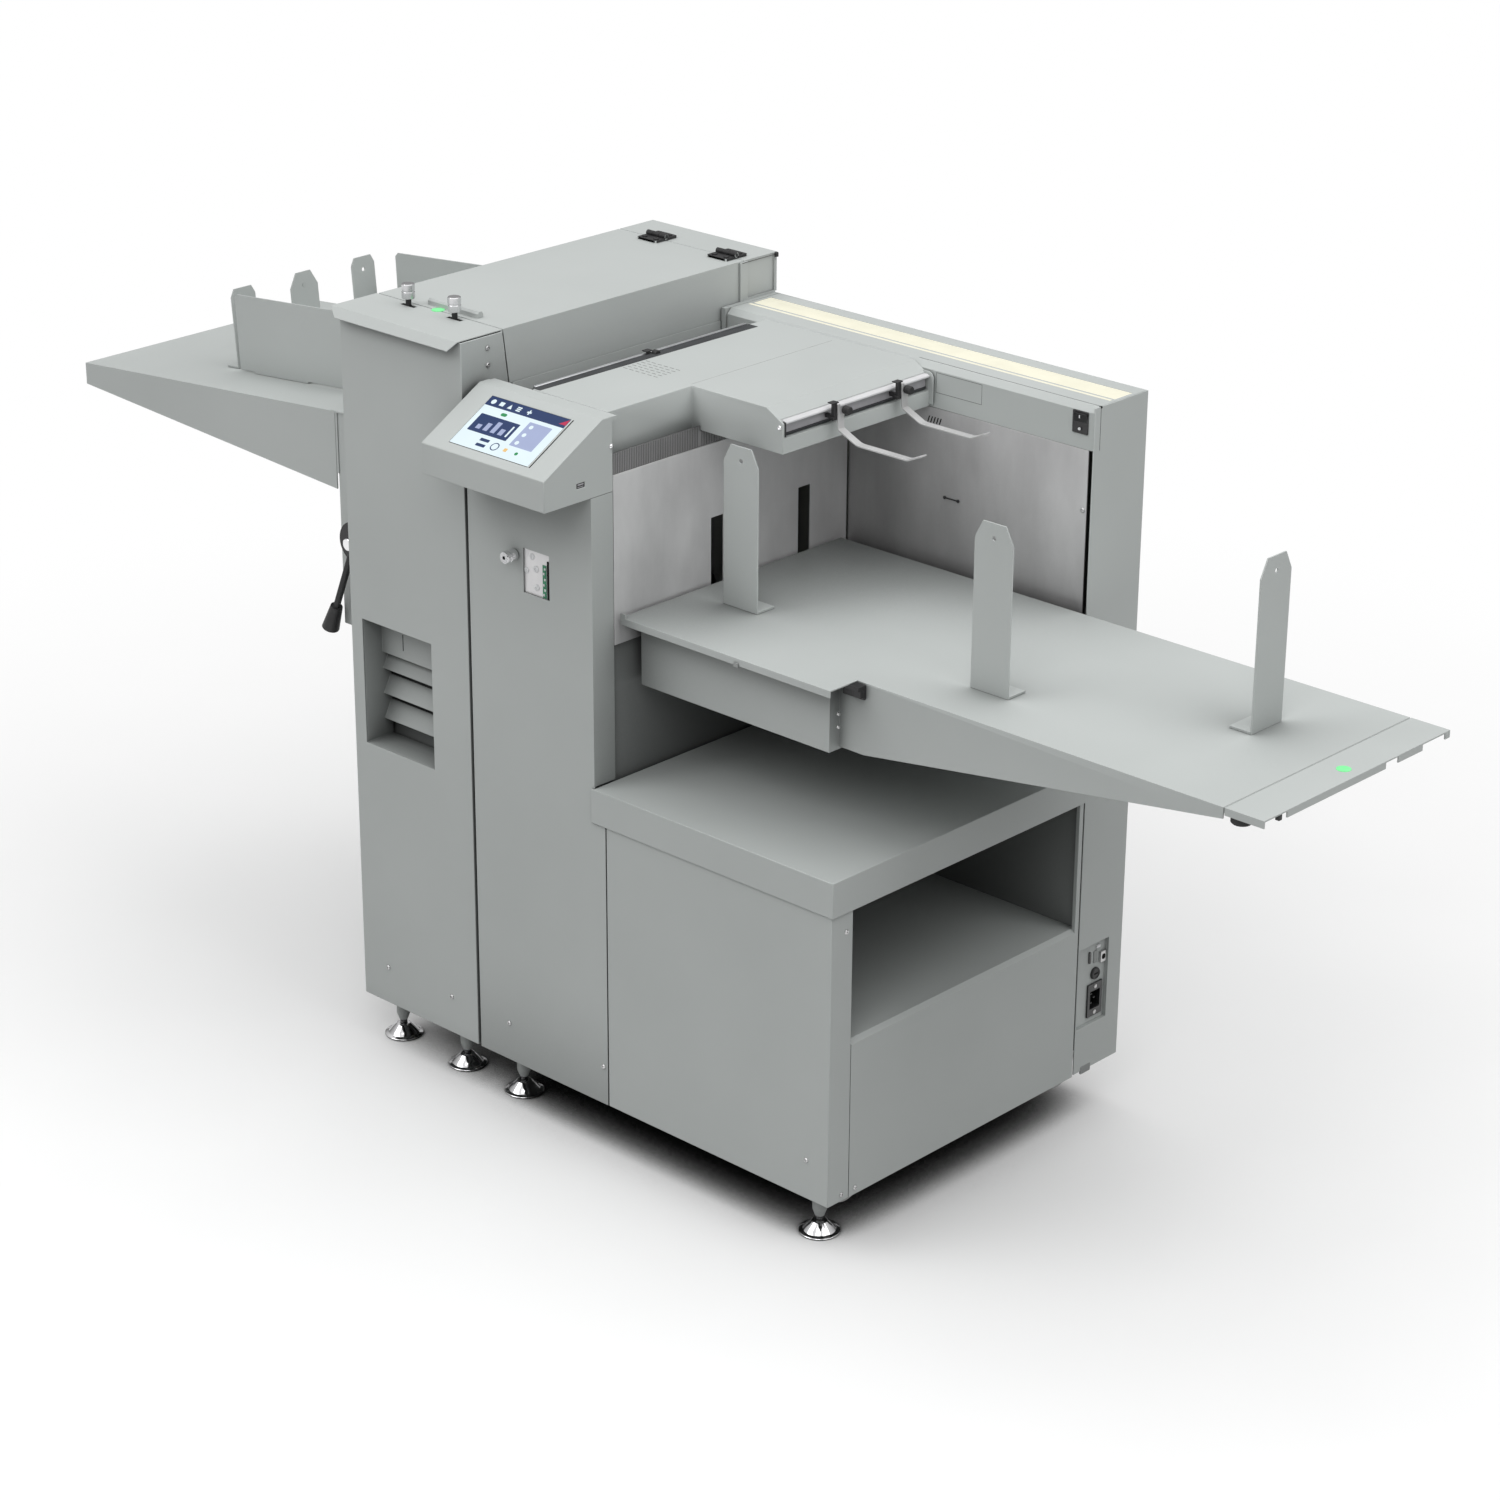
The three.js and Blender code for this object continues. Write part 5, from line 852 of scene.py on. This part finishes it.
# Console: hatch, seams and switch surround
HATCH_SPAN = (-275, -194, 949.5, 978)
HATCH_LINE = 0.7
SEAM_START_X = -316
TOP_SEAM_Y = 514.5
SIDE_SEAM_Y = 513
SURROUND_SPAN = (-38, -12, 948.5, 979.5)
switch = Box("power_switch")
face = console.y0
hatch = Maker()
left, right, low, high = HATCH_SPAN
for a, b, c, d in ((left, right, low, low + HATCH_LINE), (left, right, high - HATCH_LINE, high),
                   (left, left + HATCH_LINE, low, high), (right - HATCH_LINE, right, low, high)):
    hatch.block(a, b, face - DRAWN, face + SUNK, c, d)
hatch.done("console_hatch_joint", FINE_LINE)
seams = Maker().block(SEAM_START_X, console.x1 + 2, TOP_SEAM_Y - 0.5, TOP_SEAM_Y + 0.5,
                      console.z1 - SUNK, console.z1 + 0.12)
seams.block(-SUNK, 0.12, SIDE_SEAM_Y - 0.4, SIDE_SEAM_Y + 0.4, console.z0, console.z1 - 1)
seams.done("console_seams", DEEP_GREY)
surround = Maker().prism(rounded(*SURROUND_SPAN, 1.5), face - 1.6, face + 0.5)
surround.done("power_switch_surround", GLOSS_BLACK, bevel=0.4)
marks = Maker()
marks.block(switch.x - 0.8, switch.x + 0.8, switch.y0 - DRAWN, switch.y0 + 0.5, 970.5, 974.5)
marks.prism(circle(switch.x, 955.5, 2.0), switch.y0 + 0.4, switch.y0 + 1.6)
marks.done("power_switch_on_mark", WHITE, "power_switch")

# Lay plate: ribbed strip that goes on up to the head, higher where the head is narrow
lay = Box("lay_plate")
RIB_PITCH = 3.2
COMB_RISE = 7.6
comb_split = HEAD_STEP_Y - 2
# The strip's dark zinc is painted shade under the head
comb = Maker()
for start_y, end_y, comb_top in ((lay.y0 + 0.4, comb_split, head.z0 + COMB_RISE),
                                 (comb_split, lay.y1, head.z0 - 0.4)):
    comb.block(lay.x1 - 2.5, lay.x1 - 1.0, start_y, end_y, lay.z1 + 0.3, comb_top)
    rib_y = start_y + 2
    while rib_y < end_y - RIB_PITCH:
        comb.block(lay.x1 - 1.1, lay.x1 - 0.3, rib_y, rib_y + RIB_PITCH / 2, lay.z1 + 1, comb_top - 0.2)
        rib_y += RIB_PITCH
comb.done("lay_plate_comb", COMB_ZINC_IN_PAINTED_SHADE)

# Rear guide plate: slanted vent slots and the sensor's two studs with their bridge
GUIDE_VENTS = 5
GUIDE_VENT_X, GUIDE_VENT_PITCH, GUIDE_VENT_WIDTH = -289, 5.2, 2.0
GUIDE_VENT_SLANT = 3.0
GUIDE_VENT_HEIGHTS = (905.5, 914.5)
SENSOR_STUDS = (-254, -230)
SENSOR_HEIGHTS = (804, 805.2)
slots = Maker()
low, high = GUIDE_VENT_HEIGHTS
for i in range(GUIDE_VENTS):
    x = GUIDE_VENT_X + GUIDE_VENT_PITCH * i
    slots.prism([(x, low), (x + GUIDE_VENT_WIDTH, low), (x + GUIDE_VENT_WIDTH + GUIDE_VENT_SLANT, high),
                 (x + GUIDE_VENT_SLANT, high)], guide.y0 - 0.15, guide.y0 + SUNK)
slots.done("guide_plate_vent_slots", GAP)
bracket = Maker().block(*SENSOR_STUDS, guide.y0 - 1.5, guide.y0, *SENSOR_HEIGHTS)
for x in SENSOR_STUDS:
    bracket.lathe([(2.2, -0.5), (2.2, 1.6), (1.6, 2.2), (0, 2.2)],
                  (x, guide.y0, sum(SENSOR_HEIGHTS) / 2), FORWARD, 24)
bracket.done("guide_plate_sensor", BLACK)

# Inlet panel: each port has a material, span in y and z, corner, start, end and softened width
PANEL_X = -7.0
FUSE_Y, FUSE_Z = 562.5, 144
PORTS = {
    "service_port_dark": (GLOSS_BLACK, (547.5, 551.5, 163, 181), 1.5, 0, 2.2, 0.3),
    "service_port_grey": (DARKER_PAINT, (559, 566.5, 160, 179), 1.0, 0, 1.2, 0.3),
    "service_connector_hole": (GAP, (573, 580.5, 162.5, 170.5), 3, 4.4, 4.7, 0),
}
INLET_SCREW_REACH = 20
fuse = Maker().lathe([(9, 0), (9, 3.0), (8, 4.2), (6.5, 4.2), (6.2, 3.4), (0, 3.4)],
                     (PANEL_X, FUSE_Y, FUSE_Z), ALONG_X)
fuse.done("fuse_holder", BLACK)
for name, (material, span, corner, start, end, bevel) in PORTS.items():
    port = Maker().prism(rounded(*span, corner), PANEL_X + start, PANEL_X + end, "yz")
    port.done(name, material, bevel=bevel)
inlet = Box("mains_inlet")
inlet_screws = Maker()
for z in (inlet.z - INLET_SCREW_REACH, inlet.z + INLET_SCREW_REACH):
    inlet_screws.lathe([(3.2, -0.3), (3.2, 0.6), (2.2, 1.2), (0, 1.2)], (inlet.x1, inlet.y, z), ALONG_X, 24)
inlet_screws.done("mains_inlet_screws", STEEL)

# Feed table: black end profile and the screws of its box
PROFILE_SECTION = ((84, 706), (99, 706), (99, 686), (95, 686), (95, 700), (84, 700))
PROFILE_FILLET = ((88, 700), (95, 700), (95, 690), (88, 690))
PROFILE_ENDS = (-72, -50, -36)
BOX_END_X = -61
BOX_SCREW_DROPS = (48, 66)
start_x, fillet_x, end_x = PROFILE_ENDS
profile = Maker().prism(PROFILE_SECTION, start_x, end_x, "yz").prism(PROFILE_FILLET, fillet_x, end_x, "yz")
profile.done("table_side_profile", BLACK, "feed_table", bevel=0.5)
box_screws = Maker()
for drop in BOX_SCREW_DROPS:
    box_screws.lathe([(2.4, -1.5), (2.4, 0.8), (1.2, 1.4), (0, 1.4)],
                     (BOX_END_X, table.y0 + 28, table.z1 - drop), ALONG_X, 24)
box_screws.done("table_box_screws", STEEL, "feed_table")

# Buffers, plug and the lever's hub cap
stop, lever = Box("tray_stop_middle"), Box("side_lever")
STOP_HOLE_DROP = 20
STOP_PLATE_SHIFT = 1.9
HUB_X, HUB_Z = -962, 680
corner_buffer = Maker().lathe([(3.2, -4), (3.2, 1.5), (2.2, 2.4), (0, 2.4)],
                              (rear_cover.x1 + 1.2, rear_cover.y1 - 5.5, top.z1 - 1.5), sides=20)
corner_buffer.done("hood_corner_buffer", BLACK)
tail_buffer = Maker().lathe([(0, -14), (11.5, -14), (13.5, -12), (13.5, -5), (11, -3), (5, -2.2), (0, -2.2)],
                            (tail.x1 - 45, tail.y0 + 19, tail.z0 + 2))
tail_buffer.done("tail_plate_buffer", RUBBER, "tail_plate")
plug = Maker().lathe([(0, 0), (2.9, 0), (2.9, 2.7), (3.6, 2.7), (3.6, 3.1), (0, 3.3)],
                     (stop.x + STOP_PLATE_SHIFT, stop.y, stop.z1 - STOP_HOLE_DROP), ALONG_X, 24)
plug.done("tray_stop_plug", PAINT, "tray_stop_middle")
hub_cap = Maker().lathe([(9, 0), (9, 1.2), (8, 2), (0, 2)], (HUB_X, lever.y0 + 0.2, HUB_Z), FORWARD)
hub_cap.done("side_lever_hub_cap", CHROME, "side_lever")

# Rear column: fixing plate at its foot
FOOT_PLATE_SPAN = (531, 553, -3, 9)
foot_plate = Maker().prism(rounded(*FOOT_PLATE_SPAN, 2), -1.5, 0.6, "yz")
foot_plate.done("column_foot_plate", DARKER_PAINT, bevel=0.4)

# Single blocks: lips that close joints, shades in seams, small plates
# Each has its material, body, width of softened edges and bounds along x, y and z
lens, arm, louvre = Box("light_lens"), Box("delivery_bracket"), Box("louvre_panel")
SEAM_HALF = 0.8
seam_y = hood.y1 - 14.6
wall_x = rear_cover.x1
joint_x = head.x0 + 136
slit_x = louvre.x - 27.2
BLOCKS = {
    "tower_side_lip": (PAINT, BASE, 0, wall_x - 2, wall_x - 0.5, hood.y0 + 14, housing.y0 - 1,
        hood.z0 - 27, hood.z0 + 0.5),
    "housing_joint_strip": (PAINT, BASE, 0, wall_x - 0.5, housing.x0 + 0.5, housing.y0 + 0.5,
        rear_cover.y1 - 6, housing.z1 - 90, housing.z1 - 0.2),
    "hinge_seam_lip": (PAINT, BASE, 0, hood.x0 + 2, hood.x1 - 1, hood.y1 - 5, hood.y1 + 1,
        top.z1 - 6, top.z1 - 0.5),
    "hood_seam_cover": (PAINT, BASE, 0, hood.x1 + 0.2, wall_x - 0.1, seam_y + SEAM_HALF, hood.y1 + 2,
        hood.z0 - 20, hood.z1 - 11),
    "hood_seam_shade": (SOFT_LINE, "hood", 0, hood.x1 - 0.2, hood.x1 + 0.15, seam_y - SEAM_HALF,
        seam_y + SEAM_HALF, hood.z0 + 1, hood.z1 - 12),
    "tower_edge_shade": (FINE_LINE, BASE, 0, wall_x - 0.2, wall_x + 0.12, hood.y1 - 10,
        rear_cover.y1 - 1, top.z1 - 3.0, top.z1 - 1.7),
    "tower_deck_lip": (PAINT, BASE, 0, wall_x - 1.5, wall_x + 0.3, hood.y1 - 8, rear_cover.y1 - 7,
        housing.z1 - 4, housing.z1 + 3),
    "hood_seam_lip": (PAINT, BASE, 0, hood.x0 + 2, hood.x1 - 1, top.y1 - 1.5, hood.y0 + 0.3,
        top.z1 - 6, top.z1 - 0.8),
    "control_box_seam_lip": (PAINT, BASE, 0, control.x0 + 1, control.x1 - 1, control.y1 + 0.2,
        head.y0 - 0.2, control.z1 - 6, control.z1 - 1.2),
    "table_end_lip": (PAINT, "feed_table", 0, table.x1 - 0.6, table.x1 + 0.9, tail.y0 + 1, tail.y1 - 1,
        tail.z1 - 8, tail.z1 - 0.5),
    "data_socket_shell": (GLOSS_BLACK, BASE, 0, control.x1 - 1.9, control.x1 - 1.3, socket_y - 8,
        socket_y + 8, socket_z - 4, socket_z + 4),
    "window_board": (BOARD, BASE, 0.2, window.x + 10.5, window.x + 17.5, window.y0 - BOARD_RISE,
        window.y0, window.z - 31, window.z + 15.5),
    "window_slot_shade": (GAP, BASE, 0, window.x + 19.5, window.x + 24.8, window.y0 - 1.2,
        window.y0, window.z - 31.2, window.z + 22.5),
    "far_rail": (ALLOY, BASE, 0.8, far_x0, far_x1, head.y0 + 10, FAR_RAIL_END_Y, far_top - 9, far_top),
    "head_cover_joint": (SOFT_LINE, BASE, 0, joint_x - 0.3, joint_x + 0.3, HEAD_STEP_Y + 4,
        head.y1 - 12.7, head.z1 - SUNK, head.z1 + DRAWN),
    "head_rail_web": (SHADED_ALLOY, BASE, 0, rail_back, web_x, web_y0, web_y1, rail.z0, rail.z1 - LIP + 0.3),
    "head_rail_shade": (DEEP_GREY, BASE, 0, web_x - 0.3, web_x + 1.2, web_y0, web_y1, rail.z0, rail.z0 + 3),
    "head_rail_end_cap": (BLACK, BASE, 0.3, rail_back, lip_x + 0.3, rail.y0 - 1.6, rail.y0 - 0.1,
        rail.z0, rail.z1),
    "light_lens_rim": (LENS, BASE, 0, lens.x0 + 4, lens.x1 - 4, lens.y0 - 4, lens.y0 + 1,
        console.z1 - 0.4, console.z1 + 0.15),
    "console_corner_notch": (GAP, BASE, 0, -3.5, 0.15, SIDE_SEAM_Y - 1, SIDE_SEAM_Y + 2.5,
        console.z1 - 2.4, console.z1 + 0.15),
    "fuse_holder_slot": (GAP, BASE, 0, PANEL_X + 3.3, PANEL_X + 4, FUSE_Y - 4, FUSE_Y + 4,
        FUSE_Z - 0.8, FUSE_Z + 0.8),
    "service_connector": (STEEL, BASE, 0.6, PANEL_X, PANEL_X + 4.5, 571, 582.5, 158, 175),
    "service_port_label": (WHITE, BASE, 0.3, PANEL_X, PANEL_X + 2.5, 563.5, 571.5, 182.5, 186.5),
    "table_edge_lug": (DARKER_PAINT, "feed_table", 0.4, -219, -211, table.y0 - 2, table.y0 + 1, 696, 702),
    "tail_plate_stop": (BLACK, "tail_plate", 0.4, tail.x1 - 17, tail.x1 - 11, 146, 152, tail.z0 - 8,
        tail.z0 + 4),
    "louvre_latch_slit": (GAP, BASE, 0, slit_x - 0.6, slit_x + 0.6, 35.7, 36.1, 548, 572),
    "tray_gusset": (PAINT, BASE, 0, arm.x0 - 11, arm.x0 + 2, arm.y0 - 1.6, arm.y0 + 0.8, 770, 862),
}
for name, (material, body, bevel, *bounds) in BLOCKS.items():
    Maker().block(*bounds).done(name, material, body, bevel=bevel)

# Stage, lights and camera; the lights' places and reaches are in metres
FLOOR_REACH = 30.0
FLOOR_TONE = 0.95
BOUNCE_TONE = 0.35
CLOUDING = 0.02
# Reach and openness limits of the floor's painted shadow, which goes down to DEEP_SHADE
SHADE_REACH = 0.6
CLOSED_SHARE = 0.15
OPEN_SHARE = 0.55
FADE_START = 0.8
FADE_END = 2.6
HORIZON_SHARE = 0.12
WHITE_LIGHT = (1, 1, 1, 1)
DEEP_SHADE = (0.01, 0.01, 0.01, 1)


def seen_rays(tree, *kinds):
    """One for what the camera sees, straight or by rays of the named kinds."""
    seen = tree.add("LightPath", {}, "Is Camera Ray")
    for kind in kinds:
        ray = tree.add("LightPath", {}, kind)
        seen = tree.add("Math", {0: seen, 1: ray}, "Value", operation="MAXIMUM")
    return seen


def floor_finish():
    """Pale matt floor whose far part fades into plain white for the eye; near the machine the occlusion node
    darkens it to a painted shadow.
    """
    material, tree, shader = principled("studio_floor")
    seen = seen_rays(tree, "Is Glossy Ray", "Is Transmission Ray")
    tone, dim = (tree.ramp(tree.noise(2.0), level, level + CLOUDING) for level in (FLOOR_TONE, BOUNCE_TONE))
    open_share = tree.ranged(tree.openness(SHADE_REACH), CLOSED_SHARE, OPEN_SHARE,
                             interpolation_type="SMOOTHSTEP")
    color = tree.mix(seen, dim, tree.mix(open_share, DEEP_SHADE, tone))
    tree.fill(shader, {"Roughness": 0.8, "Specular IOR Level": 0.05, "Base Color": color})
    length = tree.add("VectorMath", {0: tree.add("TexCoord", {}, "Object")}, "Value", operation="LENGTH")
    fade = tree.ranged(length, FADE_START, FADE_END, interpolation_type="SMOOTHSTEP")
    share = tree.add("Math", {0: fade, 1: seen}, "Value", operation="MULTIPLY")
    glow = tree.add("Emission", {"Color": WHITE_LIGHT}, "Emission")
    mixed = tree.add("MixShader", {"Fac": share, 1: shader.outputs["BSDF"], 2: glow}, "Shader")
    tree.fill(tree.nodes["Material Output"], {"Surface": mixed})
    return material


floor_mesh = bpy.data.meshes.new("floor")
floor_mesh.from_pydata([(-FLOOR_REACH, -FLOOR_REACH, 0), (FLOOR_REACH, -FLOOR_REACH, 0),
                        (FLOOR_REACH, FLOOR_REACH, 0), (-FLOOR_REACH, FLOOR_REACH, 0)],
                       [], [(0, 1, 2, 3)])
floor = bpy.data.objects.new("floor", floor_mesh)
bpy.context.collection.objects.link(floor)
floor_mesh.materials.append(floor_finish())


def studio_world():
    """Pale surroundings, brighter overhead; plain white where the camera looks past the floor."""
    world = bpy.context.scene.world or bpy.data.worlds.new("studio")
    bpy.context.scene.world = world
    world.use_nodes = True
    tree = Tree(world.node_tree)
    tree.nodes.clear()
    height = tree.add("SeparateXYZ", {"Vector": tree.add("TexCoord", {}, "Generated")}, "Z")
    sky, white = (tree.add("Background", {"Color": WHITE_LIGHT, "Strength": strength}, "Background")
                  for strength in (tree.ranged(height, 0.0, 1.0, HORIZON_SHARE), 1.0))
    seen = seen_rays(tree, "Is Transmission Ray")
    mixed = tree.add("MixShader", {"Fac": seen, 1: sky, 2: white}, "Shader")
    tree.fill(tree.nodes.new("ShaderNodeOutputWorld"), {"Surface": mixed})


studio_world()

# Each lamp has its place, the height that it aims at in the middle, its side and its watts
LAMPS = {
    "overhead": ((0.0, 0.0, 3.6), 0.4, 3.0, 18),
    "high_right": ((2.6, 0.3, 3.0), 0.6, 2.4, 23),
    "front_left": ((-2.2, -3.6, 4.4), 0.4, 3.0, 55),
    "front_right": ((2.4, -3.4, 4.0), 0.4, 2.4, 44),
}
for name, (place, aim_height, side, power) in LAMPS.items():
    data = bpy.data.lights.new(name, "AREA")
    data.shape = "RECTANGLE"
    data.size = data.size_y = side
    data.energy = power
    lamp = bpy.data.objects.new(name, data)
    lamp.location = place
    lamp.rotation_euler = (Vector((0, 0, aim_height)) - Vector(place)).to_track_quat("-Z", "Y").to_euler()
    bpy.context.collection.objects.link(lamp)

CAMERA_PLACE = (2888.0, -3234.7, 2493.0)
CAMERA_AZIMUTH = math.radians(43.989)
CAMERA_ELEVATION = math.radians(23.256)
CAMERA_LENS = 90.27
CAMERA_SENSOR = 36.0
CAMERA_SHIFT = (0.0336, 0.013)
camera_data = bpy.data.cameras.new("camera")
camera = bpy.data.objects.new("camera", camera_data)
camera.location = at(*CAMERA_PLACE)
camera.rotation_euler = (math.pi / 2 - CAMERA_ELEVATION, 0, CAMERA_AZIMUTH)
camera_data.lens = CAMERA_LENS
camera_data.sensor_width = CAMERA_SENSOR
camera_data.shift_x, camera_data.shift_y = CAMERA_SHIFT
camera_data.clip_end = 100
bpy.context.collection.objects.link(camera)
bpy.context.scene.camera = camera
bpy.context.scene.view_settings.view_transform = "Standard"
